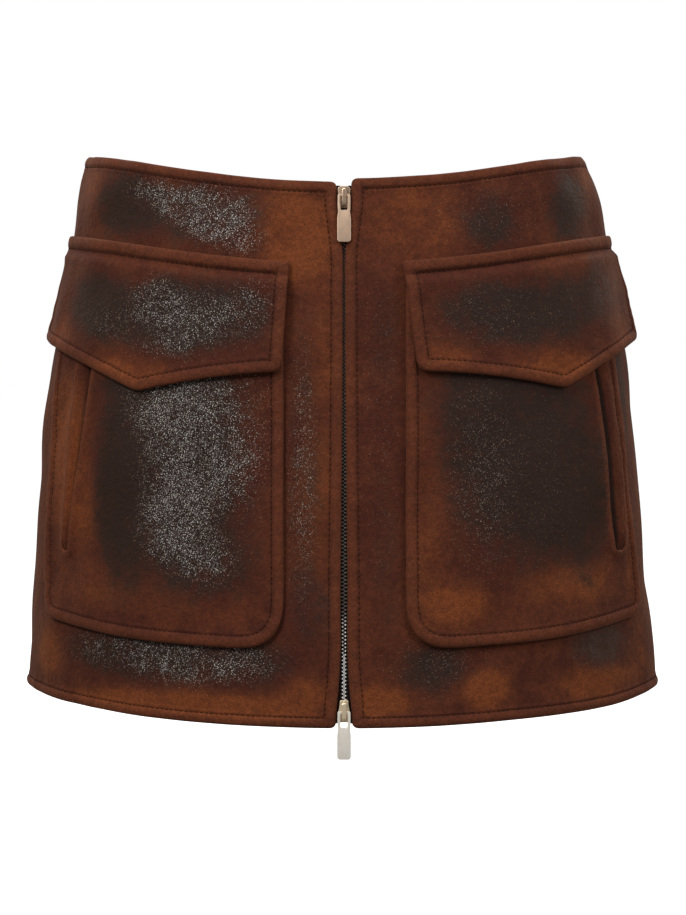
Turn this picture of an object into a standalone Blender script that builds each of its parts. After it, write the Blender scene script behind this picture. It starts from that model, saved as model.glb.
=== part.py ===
"""Suede mini skirt with a two-way zip down the front, filled out as if worn.

Metres, +Z up. The front faces -Y and the right side, as seen from the front, is +X. The origin is the centre
of the waist opening, level with the waist's side points.

The cloth follows one body surface, whose sections are half ellipses. A place on it is an arc, measured round
the section from centre front (negative to the left), and a height z. Every piece of cloth is a wall between
two grids of such places, each lifted off the body surface by its own amount.
"""

import functools
import math
from collections import namedtuple

import bmesh
import bpy
import numpy as np
from mathutils import Matrix, Vector

# Cloth
WALL = 0.0020  # suede of the panels
PATCH_WALL = 0.0022  # suede of the pockets and flaps
SEAM_GAP = 0.0003  # between pieces that meet edge to edge
LAY_GAP = 0.0006  # between a panel and what lies on it

# Body surface: half widths at the left and right, and depths to the front and back, down the skirt
Section = namedtuple("Section", "z left right front back")
SECTIONS = [
    Section(0.006, 0.1570, 0.1470, 0.1000, 0.1030),
    Section(0.000, 0.1595, 0.1485, 0.1010, 0.1040),
    Section(-0.010, 0.1636, 0.1540, 0.1025, 0.1060),
    Section(-0.025, 0.1670, 0.1595, 0.1050, 0.1090),
    Section(-0.046, 0.1695, 0.1632, 0.1080, 0.1125),
    Section(-0.080, 0.1736, 0.1687, 0.1120, 0.1175),
    Section(-0.120, 0.1815, 0.1760, 0.1160, 0.1220),
    Section(-0.160, 0.1871, 0.1810, 0.1200, 0.1255),
    Section(-0.215, 0.1915, 0.1858, 0.1255, 0.1295),
    Section(-0.255, 0.1942, 0.1887, 0.1295, 0.1325),
    Section(-0.285, 0.1970, 0.1930, 0.1325, 0.1350),
    Section(-0.345, 0.1992, 0.1982, 0.1375, 0.1395),
]

# Waist and hem lines: how far they drop from the side points to centre front and centre back
WAIST_DROP_LEFT = 0.0170
WAIST_DROP_RIGHT = 0.0150
WAIST_DROP_BACK = 0.0170
WAIST_DROP_POWER = 3.0
HEM_SIDE_Z = -0.3295
HEM_DROP_FRONT = 0.0098
HEM_DROP_BACK = 0.0030
HEM_DROP_POWER = 1.6
CORNER_DROP = 0.0018  # rounding of the four corners beside the zip
CORNER_REACH = 0.0055

# Soft flutes of the flared back: outward at the hem, fading out above
FLUTE_DEPTH = 0.0042
FLUTE_TOP_Z = -0.130
FLUTE_TURNS = 5.0

# Turned edges: distance from the edge, then the lift of the outer face and of the inner face
Turned = namedtuple("Turned", "distance outer inner")
TURNED_EDGE = [
    Turned(0.0000, -0.0007, -0.0018),
    Turned(0.0014, 0.0003, -0.0023),
    Turned(0.0038, 0.0006, -0.0024),
    Turned(0.0060, -0.0003, -0.0021),
    Turned(0.0085, 0.0000, -WALL),
]
PATCH_EDGE = [
    Turned(0.0000, 0.0010, 0.0000),
    Turned(0.0015, 0.0025, 0.0000),
    Turned(0.0042, 0.0032, 0.0000),
    Turned(0.0072, 0.0018, 0.0000),
    Turned(0.0105, PATCH_WALL, 0.0000),
]
BAND_EDGE = [
    Turned(0.0000, 0.0012, 0.0000),
    Turned(0.0013, 0.0030, 0.0000),
    Turned(0.0042, 0.0037, 0.0000),
    Turned(0.0078, 0.0018, 0.0000),
    Turned(0.0100, PATCH_WALL, 0.0000),
]
SIDE_SEAM_DIP = 0.0005
SIDE_SEAM_REACH = 0.0030

# Half of the gap between the two front edges, down the zip
Opening = namedtuple("Opening", "z half")
ZIP_OPENING = [
    Opening(-0.010, 0.0042),
    Opening(-0.030, 0.0041),
    Opening(-0.040, 0.0030),
    Opening(-0.056, 0.0014),
    Opening(-0.087, 0.0010),
    Opening(-0.170, 0.0015),
    Opening(-0.264, 0.0021),
    Opening(-0.300, 0.0022),
    Opening(-0.318, 0.0034),
    Opening(-0.326, 0.0042),
    Opening(-0.340, 0.0047),
]

# Zip tapes, behind the front edges
TAPE_INNER_EDGE = 0.0016
TAPE_OUTER_EDGE = 0.0135
TAPE_FRONT_LIFT = -0.0028
TAPE_BACK_LIFT = -0.0038
TAPE_END_MARGIN = 0.0015  # the tape stops this far inside the waist and hem edges

# Flaps: outline in arc and height. The lower edge falls from both ends to a point.
FLAP_TOP_SIDE_Z = -0.0495
FLAP_TOP_DROP = 0.0160
FLAP_END_LENGTH = 0.0660
FLAP_POINT_LENGTH = 0.0868
FLAP_EDGE_POWER = 1.5
FLAP_CORNER = 0.0060
FLAP_BAND_LIFT = 0.0007
FLAP_FIELD_START = 0.0140  # from here down the flap is clear of the pocket's top edge
FLAP_OVER_POCKET_LIFT = 0.0042
FLAP_LOWER_LIFT = 0.0008
FLAP_SIDE_MARGIN = 0.0080  # the outer end stops this far before the side seam

# Pockets: outline in arc and height
POCKET_BELOW_FLAP_TOP = 0.0150
POCKET_ABOVE_HEM = 0.0450
POCKET_OUTER_RISE = 0.0035
POCKET_INNER_CORNER = 0.0245
POCKET_OUTER_CORNER = 0.0120
POCKET_RISE_START = math.radians(35)
POCKET_OUTER_ARC = 0.2000
POCKET_BULGE = 0.0014
LIP_RISE = 0.0014  # rims of the side opening stand this far off the pocket
LIP_WIDTH = 0.0070
LIP_CREST = 0.0028
LIP_FADE_TOP_Z = -0.118
LIP_FULL_Z = -0.150
LIP_FOOT_Z = -0.242
LIP_FOOT_FADE = 0.015
OUTER_STRIP_SHARES = (0.0, 0.25, 0.58, 0.78, 0.92, 1.0)

PocketSide = namedtuple("PocketSide", "z inner_lip outer_lip outer_edge")
Side = namedtuple(
    "Side",
    "name sign flap_inner_top flap_inner_bottom flap_point flap_end_top flap_end_foot pocket_inner pocket",
)
LEFT = Side(
    name="left",
    sign=-1,
    flap_inner_top=0.0322,
    flap_inner_bottom=0.0362,
    flap_point=0.1263,
    flap_end_top=0.0010,
    flap_end_foot=0.0038,
    pocket_inner=0.0356,
    pocket=[
        PocketSide(-0.060, 0.1550, 0.1670, 0.1970),
        PocketSide(-0.105, 0.1598, 0.1722, 0.2010),
        PocketSide(-0.134, 0.1632, 0.1756, 0.2035),
        PocketSide(-0.161, 0.1672, 0.1795, 0.2060),
        PocketSide(-0.192, 0.1732, 0.1822, 0.2078),
        PocketSide(-0.215, 0.1780, 0.1856, 0.2090),
        PocketSide(-0.243, 0.1832, 0.1888, 0.2095),
        PocketSide(-0.300, 0.1860, 0.1930, 0.2080),
    ],
)
RIGHT = Side(
    name="right",
    sign=1,
    flap_inner_top=0.0346,
    flap_inner_bottom=0.0432,
    flap_point=0.1372,
    flap_end_top=0.0036,
    flap_end_foot=0.0062,
    pocket_inner=0.0365,
    pocket=[
        PocketSide(-0.060, 0.1560, 0.1670, 0.1830),
        PocketSide(-0.105, 0.1605, 0.1722, 0.1862),
        PocketSide(-0.134, 0.1640, 0.1762, 0.1890),
        PocketSide(-0.165, 0.1686, 0.1820, 0.1938),
        PocketSide(-0.198, 0.1732, 0.1876, 0.1992),
        PocketSide(-0.223, 0.1772, 0.1896, 0.2025),
        PocketSide(-0.243, 0.1806, 0.1900, 0.2062),
        PocketSide(-0.300, 0.1850, 0.1930, 0.2112),
    ],
)

# Rows and columns of the panels, as shares of the stretch between the turned edges
PANEL_ROWS = 11
FRONT_COLUMNS = 14
BACK_COLUMNS = 34
POCKET_FIELD_COLUMNS = 8
POCKET_ROW_SHARES = [0.0, 0.10, 0.196, 0.30, 0.40, 0.50, 0.60, 0.70, 0.803, 0.88]
SLIT_FIRST_ROW = 2
SLIT_LAST_ROW = 8
FLAP_INNER_COLUMNS = 5
FLAP_OUTER_COLUMNS = 6
FLAP_FIELD_ROWS = 4
TAPE_ROWS = 16

# Where a search for a place starts: an arc and a height, then a height and one above the lower edge
MID_FRONT = (0.1, -0.1)
MID_PATCH = (-0.2, 0.1)
PLACE_ROUNDS = 6

# Zip sliders. Their own frame has x to the right, z up the zip and -y out of the cloth.
SLIDER_LENGTH = 0.0132
SLIDER_HALF_WIDE = 0.0038
SliderEdge = namedtuple("SliderEdge", "up wide")  # shares of half the length and of the half width
SLIDER_OUTLINE = [
    SliderEdge(1.00, 0.62),
    SliderEdge(0.88, 0.96),
    SliderEdge(0.60, 1.00),
    SliderEdge(0.10, 0.93),
    SliderEdge(-0.60, 0.70),
    SliderEdge(-0.92, 0.64),
    SliderEdge(-1.00, 0.45),
]
PLATE_FRONT_OUT = -0.0003
PLATE_FRONT_IN = -0.0019
PLATE_BACK_OUT = -0.0058
PLATE_BACK_IN = -0.0046
POST_HALF_WIDTH = 0.0011
POST_REACH = (0.0010, 0.0055)  # from the slider's middle towards its wide end
POST_SINK = 0.0004  # how far the post runs into each plate
BAIL_HALF_WIDTH = 0.0015
BAIL_HALF_LENGTH = 0.0058
BAIL_INNER_OUT = 0.0031
BAIL_OUTER_OUT = 0.0040
BAIL_LEG = 0.0011
BAIL_SINK = 0.0006  # how far its legs run into the front plate
BAIL_FILLET = 0.0005
SLIDER_BEVEL = 0.0003
BEVEL_ANGLE = math.radians(35)
TOP_SLIDER_Z = -0.0262
BOTTOM_SLIDER_Z = -0.3298

# Pull tabs: they hang on the bails by the bar above their window
PULL_OUT = 0.0019  # height of the hinge axis above the body surface
PULL_THICKNESS = 0.0013
PULL_HALF_TOP = 0.0038
PULL_HALF_BOTTOM = 0.0041
PULL_BAR = 0.00075  # half height of the bar on the hinge axis
PULL_LENGTH = 0.0281
PULL_CORNER = 0.0016
PULL_SHOULDER = 0.0006
WINDOW_HALF = 0.00205
WINDOW_LENGTH = 0.0090
PULL_BEVEL = 0.00028
PULL_ARC_STEPS = 5
TOP_HINGE_RISE = 0.0008  # hinge axis above the slider's middle
BOTTOM_HINGE_RISE = -0.0006


# ---------------------------------------------------------------- body surface


def smooth_column(table, key, column, at):
    """A smooth curve through one named column of a table, whose rows are sorted by falling key."""
    keys = np.array([getattr(row, key) for row in table])[::-1]
    values = np.array([getattr(row, column) for row in table])[::-1]
    slopes = np.gradient(values, keys)
    at = min(max(at, keys[0]), keys[-1])
    i = int(min(max(np.searchsorted(keys, at) - 1, 0), len(keys) - 2))
    span = keys[i + 1] - keys[i]
    t = (at - keys[i]) / span
    return float(
        (2 * t**3 - 3 * t**2 + 1) * values[i]
        + (t**3 - 2 * t**2 + t) * span * slopes[i]
        + (3 * t**2 - 2 * t**3) * values[i + 1]
        + (t**3 - t**2) * span * slopes[i + 1]
    )


def ease(value):
    """0 below 0, 1 above 1, and a soft step between."""
    value = min(max(value, 0.0), 1.0)
    return value * value * (3 - 2 * value)


@functools.lru_cache(maxsize=None)
def section_at(z):
    return Section(z, *(smooth_column(SECTIONS, "z", name, z) for name in Section._fields[1:]))


def flute(angle, z):
    """How far the back's soft folds stand out at this place."""
    behind = max(-math.cos(angle), 0.0)
    low = ease((FLUTE_TOP_Z - z) / (FLUTE_TOP_Z - HEM_SIDE_Z))
    return FLUTE_DEPTH * low * behind * math.cos(FLUTE_TURNS * (angle - math.pi))


@functools.lru_cache(maxsize=None)
def body_point(angle, z):
    """A point of the body surface, at a section angle from centre front, in radians."""
    section = section_at(z)
    wide = section.right if math.sin(angle) >= 0 else section.left
    deep = section.front if math.cos(angle) >= 0 else section.back
    out = flute(angle, z)
    return Vector(((wide + out) * math.sin(angle), -(deep + out) * math.cos(angle), z))


@functools.lru_cache(maxsize=None)
def body_normal(angle, z):
    step_angle = 0.002
    step_z = 0.0005
    across = body_point(angle + step_angle, z) - body_point(angle - step_angle, z)
    up = body_point(angle, z + step_z) - body_point(angle, z - step_z)
    return across.cross(up).normalized()


@functools.lru_cache(maxsize=None)
def arc_table(z, sign):
    """Arcs from centre front at evenly spaced angles, round one side to centre back."""
    section = section_at(z)
    wide = section.right if sign > 0 else section.left
    angles = np.linspace(0.0, math.pi, 361)
    deep = np.where(np.cos(angles) >= 0, section.front, section.back)
    speed = np.hypot(wide * np.cos(angles), deep * np.sin(angles))
    arcs = np.concatenate([[0.0], np.cumsum((speed[1:] + speed[:-1]) / 2 * np.diff(angles))])
    return angles, arcs


def angle_at(arc, z):
    angles, arcs = arc_table(z, 1 if arc >= 0 else -1)
    return math.copysign(float(np.interp(abs(arc), arcs, angles)), arc)


def side_arc(z, sign):
    """Arc from centre front to the side seam."""
    angles, arcs = arc_table(z, sign)
    return float(np.interp(math.pi / 2, angles, arcs))


def back_arc(z, sign):
    """Arc from centre front round one side to centre back."""
    return float(arc_table(z, sign)[1][-1])


def lifted(arc, z, lift):
    angle = angle_at(arc, z)
    return body_point(angle, z) + body_normal(angle, z) * float(lift)


def waist_z(angle):
    if math.cos(angle) < 0:
        return -WAIST_DROP_BACK * abs(math.cos(angle)) ** WAIST_DROP_POWER
    drop = WAIST_DROP_RIGHT if angle >= 0 else WAIST_DROP_LEFT
    return -drop * math.cos(angle) ** WAIST_DROP_POWER


def hem_z(angle):
    drop = HEM_DROP_FRONT if math.cos(angle) >= 0 else HEM_DROP_BACK
    return HEM_SIDE_Z - drop * abs(math.cos(angle)) ** HEM_DROP_POWER


def flap_top_z(angle):
    return FLAP_TOP_SIDE_Z - FLAP_TOP_DROP * max(math.cos(angle), 0.0) ** WAIST_DROP_POWER


def height_on_line(arc_of_z, line):
    """The height where a column, given as arcs at heights, meets a line, given as heights at angles."""
    z = line(0.5)
    for _ in range(4):
        z = line(angle_at(arc_of_z(z), z))
    return z


# ---------------------------------------------------------------- walls of cloth


def turned(profile, distance, face):
    """Lift of one face of a turned edge, at a distance from the edge."""
    distances = [row.distance for row in profile]
    return float(np.interp(distance, distances, [getattr(row, face) for row in profile]))


def material(name, colour, roughness, metallic=0.0):
    made = bpy.data.materials.new(name)
    made.use_nodes = True
    shader = made.node_tree.nodes["Principled BSDF"]
    shader.inputs["Base Color"].default_value = (*colour, 1.0)
    shader.inputs["Roughness"].default_value = roughness
    shader.inputs["Metallic"].default_value = metallic
    return made


def add_object(name, mesh, surface):
    obj = bpy.data.objects.new(name, mesh)
    bpy.context.scene.collection.objects.link(obj)
    mesh.materials.append(surface)
    mesh.shade_smooth()
    mesh.set_sharp_from_angle(angle=math.radians(50))
    return obj


def wall(name, outer, inner, surface, hole=None):
    """A closed wall between two grids of points, rows by columns.

    hole, where there is one, gives the first and last of its rows and of its columns.
    """
    rows = len(outer)
    columns = len(outer[0])
    cells = {(r, c) for r in range(rows - 1) for c in range(columns - 1)}
    if hole:
        first_row, last_row, first_column, last_column = hole
        cells -= {(r, c) for r in range(first_row, last_row) for c in range(first_column, last_column)}
    mesh_data = bmesh.new()
    front = [[mesh_data.verts.new(point) for point in row] for row in outer]
    back = [[mesh_data.verts.new(point) for point in row] for row in inner]
    for r, c in sorted(cells):
        mesh_data.faces.new((front[r][c], front[r][c + 1], front[r + 1][c + 1], front[r + 1][c]))
        mesh_data.faces.new((back[r][c], back[r + 1][c], back[r + 1][c + 1], back[r][c + 1]))
        corners = [(r, c), (r, c + 1), (r + 1, c + 1), (r + 1, c)]
        beyond = [(r - 1, c), (r, c + 1), (r + 1, c), (r, c - 1)]
        for side, neighbour in enumerate(beyond):
            if neighbour in cells:
                continue
            (r0, c0), (r1, c1) = corners[side], corners[(side + 1) % 4]
            mesh_data.faces.new((front[r1][c1], front[r0][c0], back[r0][c0], back[r1][c1]))
    loose = [vert for vert in mesh_data.verts if not vert.link_faces]
    bmesh.ops.delete(mesh_data, geom=loose, context="VERTS")
    bmesh.ops.recalc_face_normals(mesh_data, faces=mesh_data.faces)
    mesh = bpy.data.meshes.new(name)
    mesh_data.to_mesh(mesh)
    mesh_data.free()
    return add_object(name, mesh, surface)


def edge_steps(profile):
    """Distances of the grid lines beside a turned edge."""
    return [row.distance for row in profile]


def lines_between(top_steps, bottom_steps, count):
    """Grid lines across a stretch, as functions of its length, so the edge lines keep their distance."""
    lines = [lambda length, d=d: d for d in top_steps]
    for i in range(1, count):
        share = i / count
        lines.append(
            lambda length, f=share: top_steps[-1] + f * (length - top_steps[-1] - bottom_steps[-1])
        )
    lines += [lambda length, d=d: length - d for d in reversed(bottom_steps)]
    return lines


def panel(name, column_arcs, edge_distances, seam_distances, surface):
    """A panel from waist to hem.

    Each column gives its arc at any height, and its distances from turned edges and from side seams.
    """
    steps = edge_steps(TURNED_EDGE)
    lines = lines_between(steps, steps, PANEL_ROWS)
    outer = [[] for _ in lines]
    inner = [[] for _ in lines]
    for arc_of_z, to_edge, to_seam in zip(column_arcs, edge_distances, seam_distances):
        corner = CORNER_DROP * max(1 - to_edge / CORNER_REACH, 0.0) ** 2
        top = height_on_line(arc_of_z, waist_z) - corner
        bottom = height_on_line(arc_of_z, hem_z) + corner
        seam = SIDE_SEAM_DIP * (1 - ease(to_seam / SIDE_SEAM_REACH))
        for r, line in enumerate(lines):
            down = line(top - bottom)
            z = top - down
            distance = min(down, top - bottom - down, to_edge)
            out = turned(TURNED_EDGE, distance, "outer") - seam
            in_ = turned(TURNED_EDGE, distance, "inner")
            outer[r].append(lifted(arc_of_z(z), z, out))
            inner[r].append(lifted(arc_of_z(z), z, in_))
    return wall(name, outer, inner, surface)


def zip_edge(z):
    return smooth_column(ZIP_OPENING, "z", "half", z)


def front_panel(side, surface):
    """From the zip edge to the side seam."""
    steps = edge_steps(TURNED_EDGE)
    seam_steps = [0.0, SIDE_SEAM_REACH]
    lines = lines_between(steps, seam_steps, FRONT_COLUMNS)

    def column(line):
        def arc_of_z(z):
            length = side_arc(z, side.sign) - SEAM_GAP / 2 - zip_edge(z)
            return side.sign * (zip_edge(z) + line(length))

        return arc_of_z

    nominal = side_arc(HEM_SIDE_Z, side.sign)
    to_edge = [line(nominal) for line in lines]
    to_seam = [nominal - distance for distance in to_edge]
    return panel(f"front_{side.name}", [column(line) for line in lines], to_edge, to_seam, surface)


def back_panel(surface):
    """From the left side seam round centre back to the right side seam."""

    def column(share):
        sign = 1 if share >= 0 else -1

        def arc_of_z(z):
            reach = back_arc(z, sign) - side_arc(z, sign) - SEAM_GAP / 2
            return sign * (back_arc(z, sign) - abs(share) * reach)

        return arc_of_z

    nominal = back_arc(HEM_SIDE_Z, 1) - side_arc(HEM_SIDE_Z, 1)
    seam_share = SIDE_SEAM_REACH / nominal
    inside = np.linspace(-1 + seam_share, 1 - seam_share, BACK_COLUMNS - 1)
    shares = [-1.0, *inside, 1.0]
    to_edge = [nominal] * len(shares)
    to_seam = [nominal * (1 - abs(share)) for share in shares]
    return panel("back", [column(share) for share in shares], to_edge, to_seam, surface)


def zip_tape(side, surface):
    """A plain tape behind each front edge, its own edges straight down."""
    arcs = [TAPE_INNER_EDGE, (TAPE_INNER_EDGE + TAPE_OUTER_EDGE) / 2, TAPE_OUTER_EDGE]
    top = waist_z(0.0 if side.sign > 0 else -1e-6) - CORNER_DROP - TAPE_END_MARGIN
    bottom = hem_z(0.0) + CORNER_DROP + TAPE_END_MARGIN
    heights = np.linspace(top, bottom, TAPE_ROWS)
    outer = [[lifted(side.sign * arc, z, TAPE_FRONT_LIFT) for arc in arcs] for z in heights]
    inner = [[lifted(side.sign * arc, z, TAPE_BACK_LIFT) for arc in arcs] for z in heights]
    return wall(f"zip_tape_{side.name}", outer, inner, surface)


# ---------------------------------------------------------------- pockets and flaps


def corner_inset(up, radius):
    """How far a rounded corner draws a side edge in, at a height above the corner's foot."""
    if up >= radius:
        return 0.0
    return radius - math.sqrt(radius**2 - (radius - up) ** 2)


def patch_grid(lines, columns_at, top_line, bottom_length):
    """Places of a patch's grid as (arc, z, down, length), rows by columns.

    lines gives each row's distance below the top edge for a column's length. columns_at gives the arcs of
    the columns at a height z and a height above the lower edge. bottom_length gives the patch's length at
    an arc. A column's arc depends on its height and the other way round, so a few rounds find each place.
    """
    count = len(columns_at(*MID_PATCH))
    grid = []
    for line in lines:
        row = []
        for c in range(count):
            arc, z = MID_FRONT
            for _ in range(PLACE_ROUNDS):
                top = top_line(angle_at(arc, z))
                length = bottom_length(arc, top)
                down = line(length)
                z = top - down
                arc = columns_at(z, length - down)[c]
            row.append((arc, z, down, length))
        grid.append(row)
    return grid


def pocket(side, surface):
    """A patch with turned edges and a side opening between two raised lips."""
    steps = edge_steps(PATCH_EDGE)
    lines = [lambda length, s=share: s * length for share in POCKET_ROW_SHARES]
    lines += [lambda length, d=distance: length - d for distance in reversed(steps)]

    def top_line(angle):
        return flap_top_z(angle) - POCKET_BELOW_FLAP_TOP

    def bottom_length(arc, top):
        angle = angle_at(arc, HEM_SIDE_Z + POCKET_ABOVE_HEM)
        rise = POCKET_OUTER_RISE * ease((angle - POCKET_RISE_START) / POCKET_RISE_START)
        return top - (hem_z(angle) + POCKET_ABOVE_HEM + rise)

    def edges_at(z, up):
        start = side.pocket_inner + corner_inset(up, POCKET_INNER_CORNER)
        end = smooth_column(side.pocket, "z", "outer_edge", z)
        return start, end - corner_inset(up, POCKET_OUTER_CORNER)

    def lips_at(z):
        return [smooth_column(side.pocket, "z", name, z) for name in ("inner_lip", "outer_lip")]

    def columns_at(z, up):
        start, end = edges_at(z, up)
        inner_lip, outer_lip = lips_at(z)
        field_start = start + steps[-1]
        field_end = inner_lip - LIP_WIDTH
        arcs = [start + distance for distance in steps[:-1]]
        arcs += list(np.linspace(field_start, field_end, POCKET_FIELD_COLUMNS + 1))
        arcs += [inner_lip - LIP_CREST, inner_lip]
        arcs += [outer_lip + share * (end - outer_lip) for share in OUTER_STRIP_SHARES]
        return arcs

    grid = patch_grid(lines, columns_at, top_line, bottom_length)
    outer, inner = [], []
    for row in grid:
        outer.append([])
        inner.append([])
        for arc, z, down, length in row:
            start, end = edges_at(z, length - down)
            inner_lip, outer_lip = lips_at(z)
            to_edge = min(arc - start, end - arc, length - down)
            across = (arc - start) / (end - start)
            bulge = POCKET_BULGE * math.sin(math.pi * across) * math.sin(math.pi * down / length)
            near = 1 - ease(max(inner_lip - arc, arc - outer_lip, 0.0) / LIP_WIDTH)
            shown = ease((LIP_FADE_TOP_Z - z) / (LIP_FADE_TOP_Z - LIP_FULL_Z))
            closed = ease((LIP_FOOT_Z - z) / LIP_FOOT_FADE)
            lift = LAY_GAP + bulge + LIP_RISE * near * shown * (1 - closed)
            outer[-1].append(lifted(side.sign * arc, z, lift + turned(PATCH_EDGE, to_edge, "outer")))
            inner[-1].append(lifted(side.sign * arc, z, lift))
    lip_column = len(steps) + POCKET_FIELD_COLUMNS + 1
    hole = (SLIT_FIRST_ROW, SLIT_LAST_ROW, lip_column, lip_column + 1)
    return wall(f"pocket_{side.name}", outer, inner, surface, hole)


def flap(side, surface):
    """A flap with a stitched-down band along its top and a pointed lower edge, standing off the pocket."""
    steps = edge_steps(PATCH_EDGE)
    band_steps = edge_steps(BAND_EDGE)
    lines = lines_between(band_steps + [FLAP_FIELD_START], steps, FLAP_FIELD_ROWS)

    def ends_at(z, up):
        down_share = (FLAP_TOP_SIDE_Z - FLAP_TOP_DROP - z) / FLAP_END_LENGTH
        slant = side.flap_inner_bottom - side.flap_inner_top
        start = side.flap_inner_top + slant * down_share + corner_inset(up, FLAP_CORNER)
        end = side_arc(z, side.sign) - FLAP_SIDE_MARGIN - corner_inset(up, FLAP_CORNER)
        return start, end

    def bottom_length(arc, top):
        z = top - FLAP_END_LENGTH
        start, end = ends_at(z, 1.0)
        reach = side.flap_point - start if arc < side.flap_point else end - side.flap_point
        share = min(abs(arc - side.flap_point) / reach, 1.0)
        return FLAP_END_LENGTH + (FLAP_POINT_LENGTH - FLAP_END_LENGTH) * (1 - share) ** FLAP_EDGE_POWER

    def columns_at(z, up):
        start, end = ends_at(z, up)
        to_point = np.linspace(start + steps[-1], side.flap_point, FLAP_INNER_COLUMNS + 1)
        from_point = np.linspace(side.flap_point, end - steps[2], FLAP_OUTER_COLUMNS + 1)
        arcs = [start + distance for distance in steps[:-1]]
        arcs += [*to_point, *from_point[1:], end - steps[1], end]
        return arcs

    grid = patch_grid(lines, columns_at, flap_top_z, bottom_length)
    outer, inner = [], []
    for row in grid:
        outer.append([])
        inner.append([])
        for arc, z, down, length in row:
            start, end = ends_at(z, length - down)
            to_edge = min(arc - start, end - arc, length - down)
            over_pocket = FLAP_OVER_POCKET_LIFT + FLAP_LOWER_LIFT * down / length
            at_end = side.flap_end_top + (side.flap_end_foot - side.flap_end_top) * down / length
            outward = ease((arc - POCKET_OUTER_ARC) / (end - POCKET_OUTER_ARC))
            stand = over_pocket + (at_end - over_pocket) * outward
            off = ease((down - band_steps[3]) / (FLAP_FIELD_START - band_steps[3]))
            lift = FLAP_BAND_LIFT + (stand - FLAP_BAND_LIFT) * off
            thick = min(turned(PATCH_EDGE, to_edge, "outer"), turned(BAND_EDGE, down, "outer"))
            outer[-1].append(lifted(side.sign * arc, z, lift + thick))
            inner[-1].append(lifted(side.sign * arc, z, lift))
    return wall(f"flap_{side.name}", outer, inner, surface)


# ---------------------------------------------------------------- zip sliders and pulls


def prism(name, outline, run, bevel, surface):
    """A prism from a ring of points and the way it runs from there, with bevelled edges."""
    mesh_data = bmesh.new()
    face = mesh_data.faces.new([mesh_data.verts.new(place) for place in outline])
    made = bmesh.ops.extrude_face_region(mesh_data, geom=[face])
    moved = [item for item in made["geom"] if isinstance(item, bmesh.types.BMVert)]
    bmesh.ops.translate(mesh_data, verts=moved, vec=run)
    bmesh.ops.recalc_face_normals(mesh_data, faces=mesh_data.faces)
    mesh = bpy.data.meshes.new(name)
    mesh_data.to_mesh(mesh)
    mesh_data.free()
    obj = add_object(name, mesh, surface)
    if bevel:
        add_bevel(obj, bevel)
    return obj


def add_bevel(obj, width):
    modifier = obj.modifiers.new("Rounded edges", "BEVEL")
    modifier.width = width
    modifier.segments = 1
    modifier.limit_method = "ANGLE"
    modifier.angle_limit = BEVEL_ANGLE


def fuse(target, parts):
    """One body from several prisms. The parts stay as hidden helpers."""
    for part in parts:
        modifier = target.modifiers.new(f"Join {part.name}", "BOOLEAN")
        modifier.operation = "UNION"
        modifier.object = part
        part.parent = target
        part.hide_render = True
        part.display_type = "WIRE"
    return target


def slider_frame(z):
    """Place and tilt of the zip's own frame at a height: x right, z up the zip, -y out of the cloth."""
    normal = body_normal(0.0, z)
    tilt = -math.atan2(normal.z, -normal.y)
    return Matrix.Translation(body_point(0.0, z)) @ Matrix.Rotation(tilt, 4, "X")


def slider(name, z, wide_end, surface):
    """Front and back plates joined by a post at the wide end, with a bail arched over the front plate.

    wide_end is 1 where the wide end is up and -1 where it is down.
    """
    half = SLIDER_LENGTH / 2
    side = [(SLIDER_HALF_WIDE * edge.wide, wide_end * half * edge.up) for edge in SLIDER_OUTLINE]
    outline = side + [(-x, up) for x, up in reversed(side)]

    def plate(label, outside, inside):
        ring = [(x, -outside, up) for x, up in outline]
        return prism(label, ring, (0, outside - inside, 0), SLIDER_BEVEL, surface)

    def crosswise(label, section, half_width, bevel):
        ring = [(-half_width, -lift, up) for lift, up in section]
        return prism(label, ring, (2 * half_width, 0, 0), bevel, surface)

    front = plate(name, PLATE_FRONT_OUT, PLATE_FRONT_IN)
    back = plate(f"{name}_back_plate", PLATE_BACK_OUT, PLATE_BACK_IN)
    post_out = PLATE_FRONT_IN + POST_SINK
    post_in = PLATE_BACK_IN - POST_SINK
    near, far = (wide_end * reach for reach in POST_REACH)
    post_section = [(post_out, near), (post_in, near), (post_in, far), (post_out, far)]
    post = crosswise(f"{name}_post", post_section, POST_HALF_WIDTH, 0.0)
    sunk = PLATE_FRONT_OUT - BAIL_SINK
    leg = BAIL_HALF_LENGTH - BAIL_LEG
    over = [
        (sunk, BAIL_HALF_LENGTH),
        (BAIL_OUTER_OUT - BAIL_LEG, BAIL_HALF_LENGTH),
        (BAIL_OUTER_OUT, leg),
    ]
    under = [
        (BAIL_INNER_OUT, leg - BAIL_FILLET),
        (BAIL_INNER_OUT - BAIL_FILLET, leg),
        (sunk, leg),
    ]
    arch = over + [(lift, -up) for lift, up in reversed(over)]
    arch += [(lift, -up) for lift, up in reversed(under)] + under
    bail = crosswise(f"{name}_bail", arch, BAIL_HALF_WIDTH, SLIDER_BEVEL)
    body = fuse(front, [post, back, bail])
    body.matrix_world = slider_frame(z)
    return body


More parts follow.
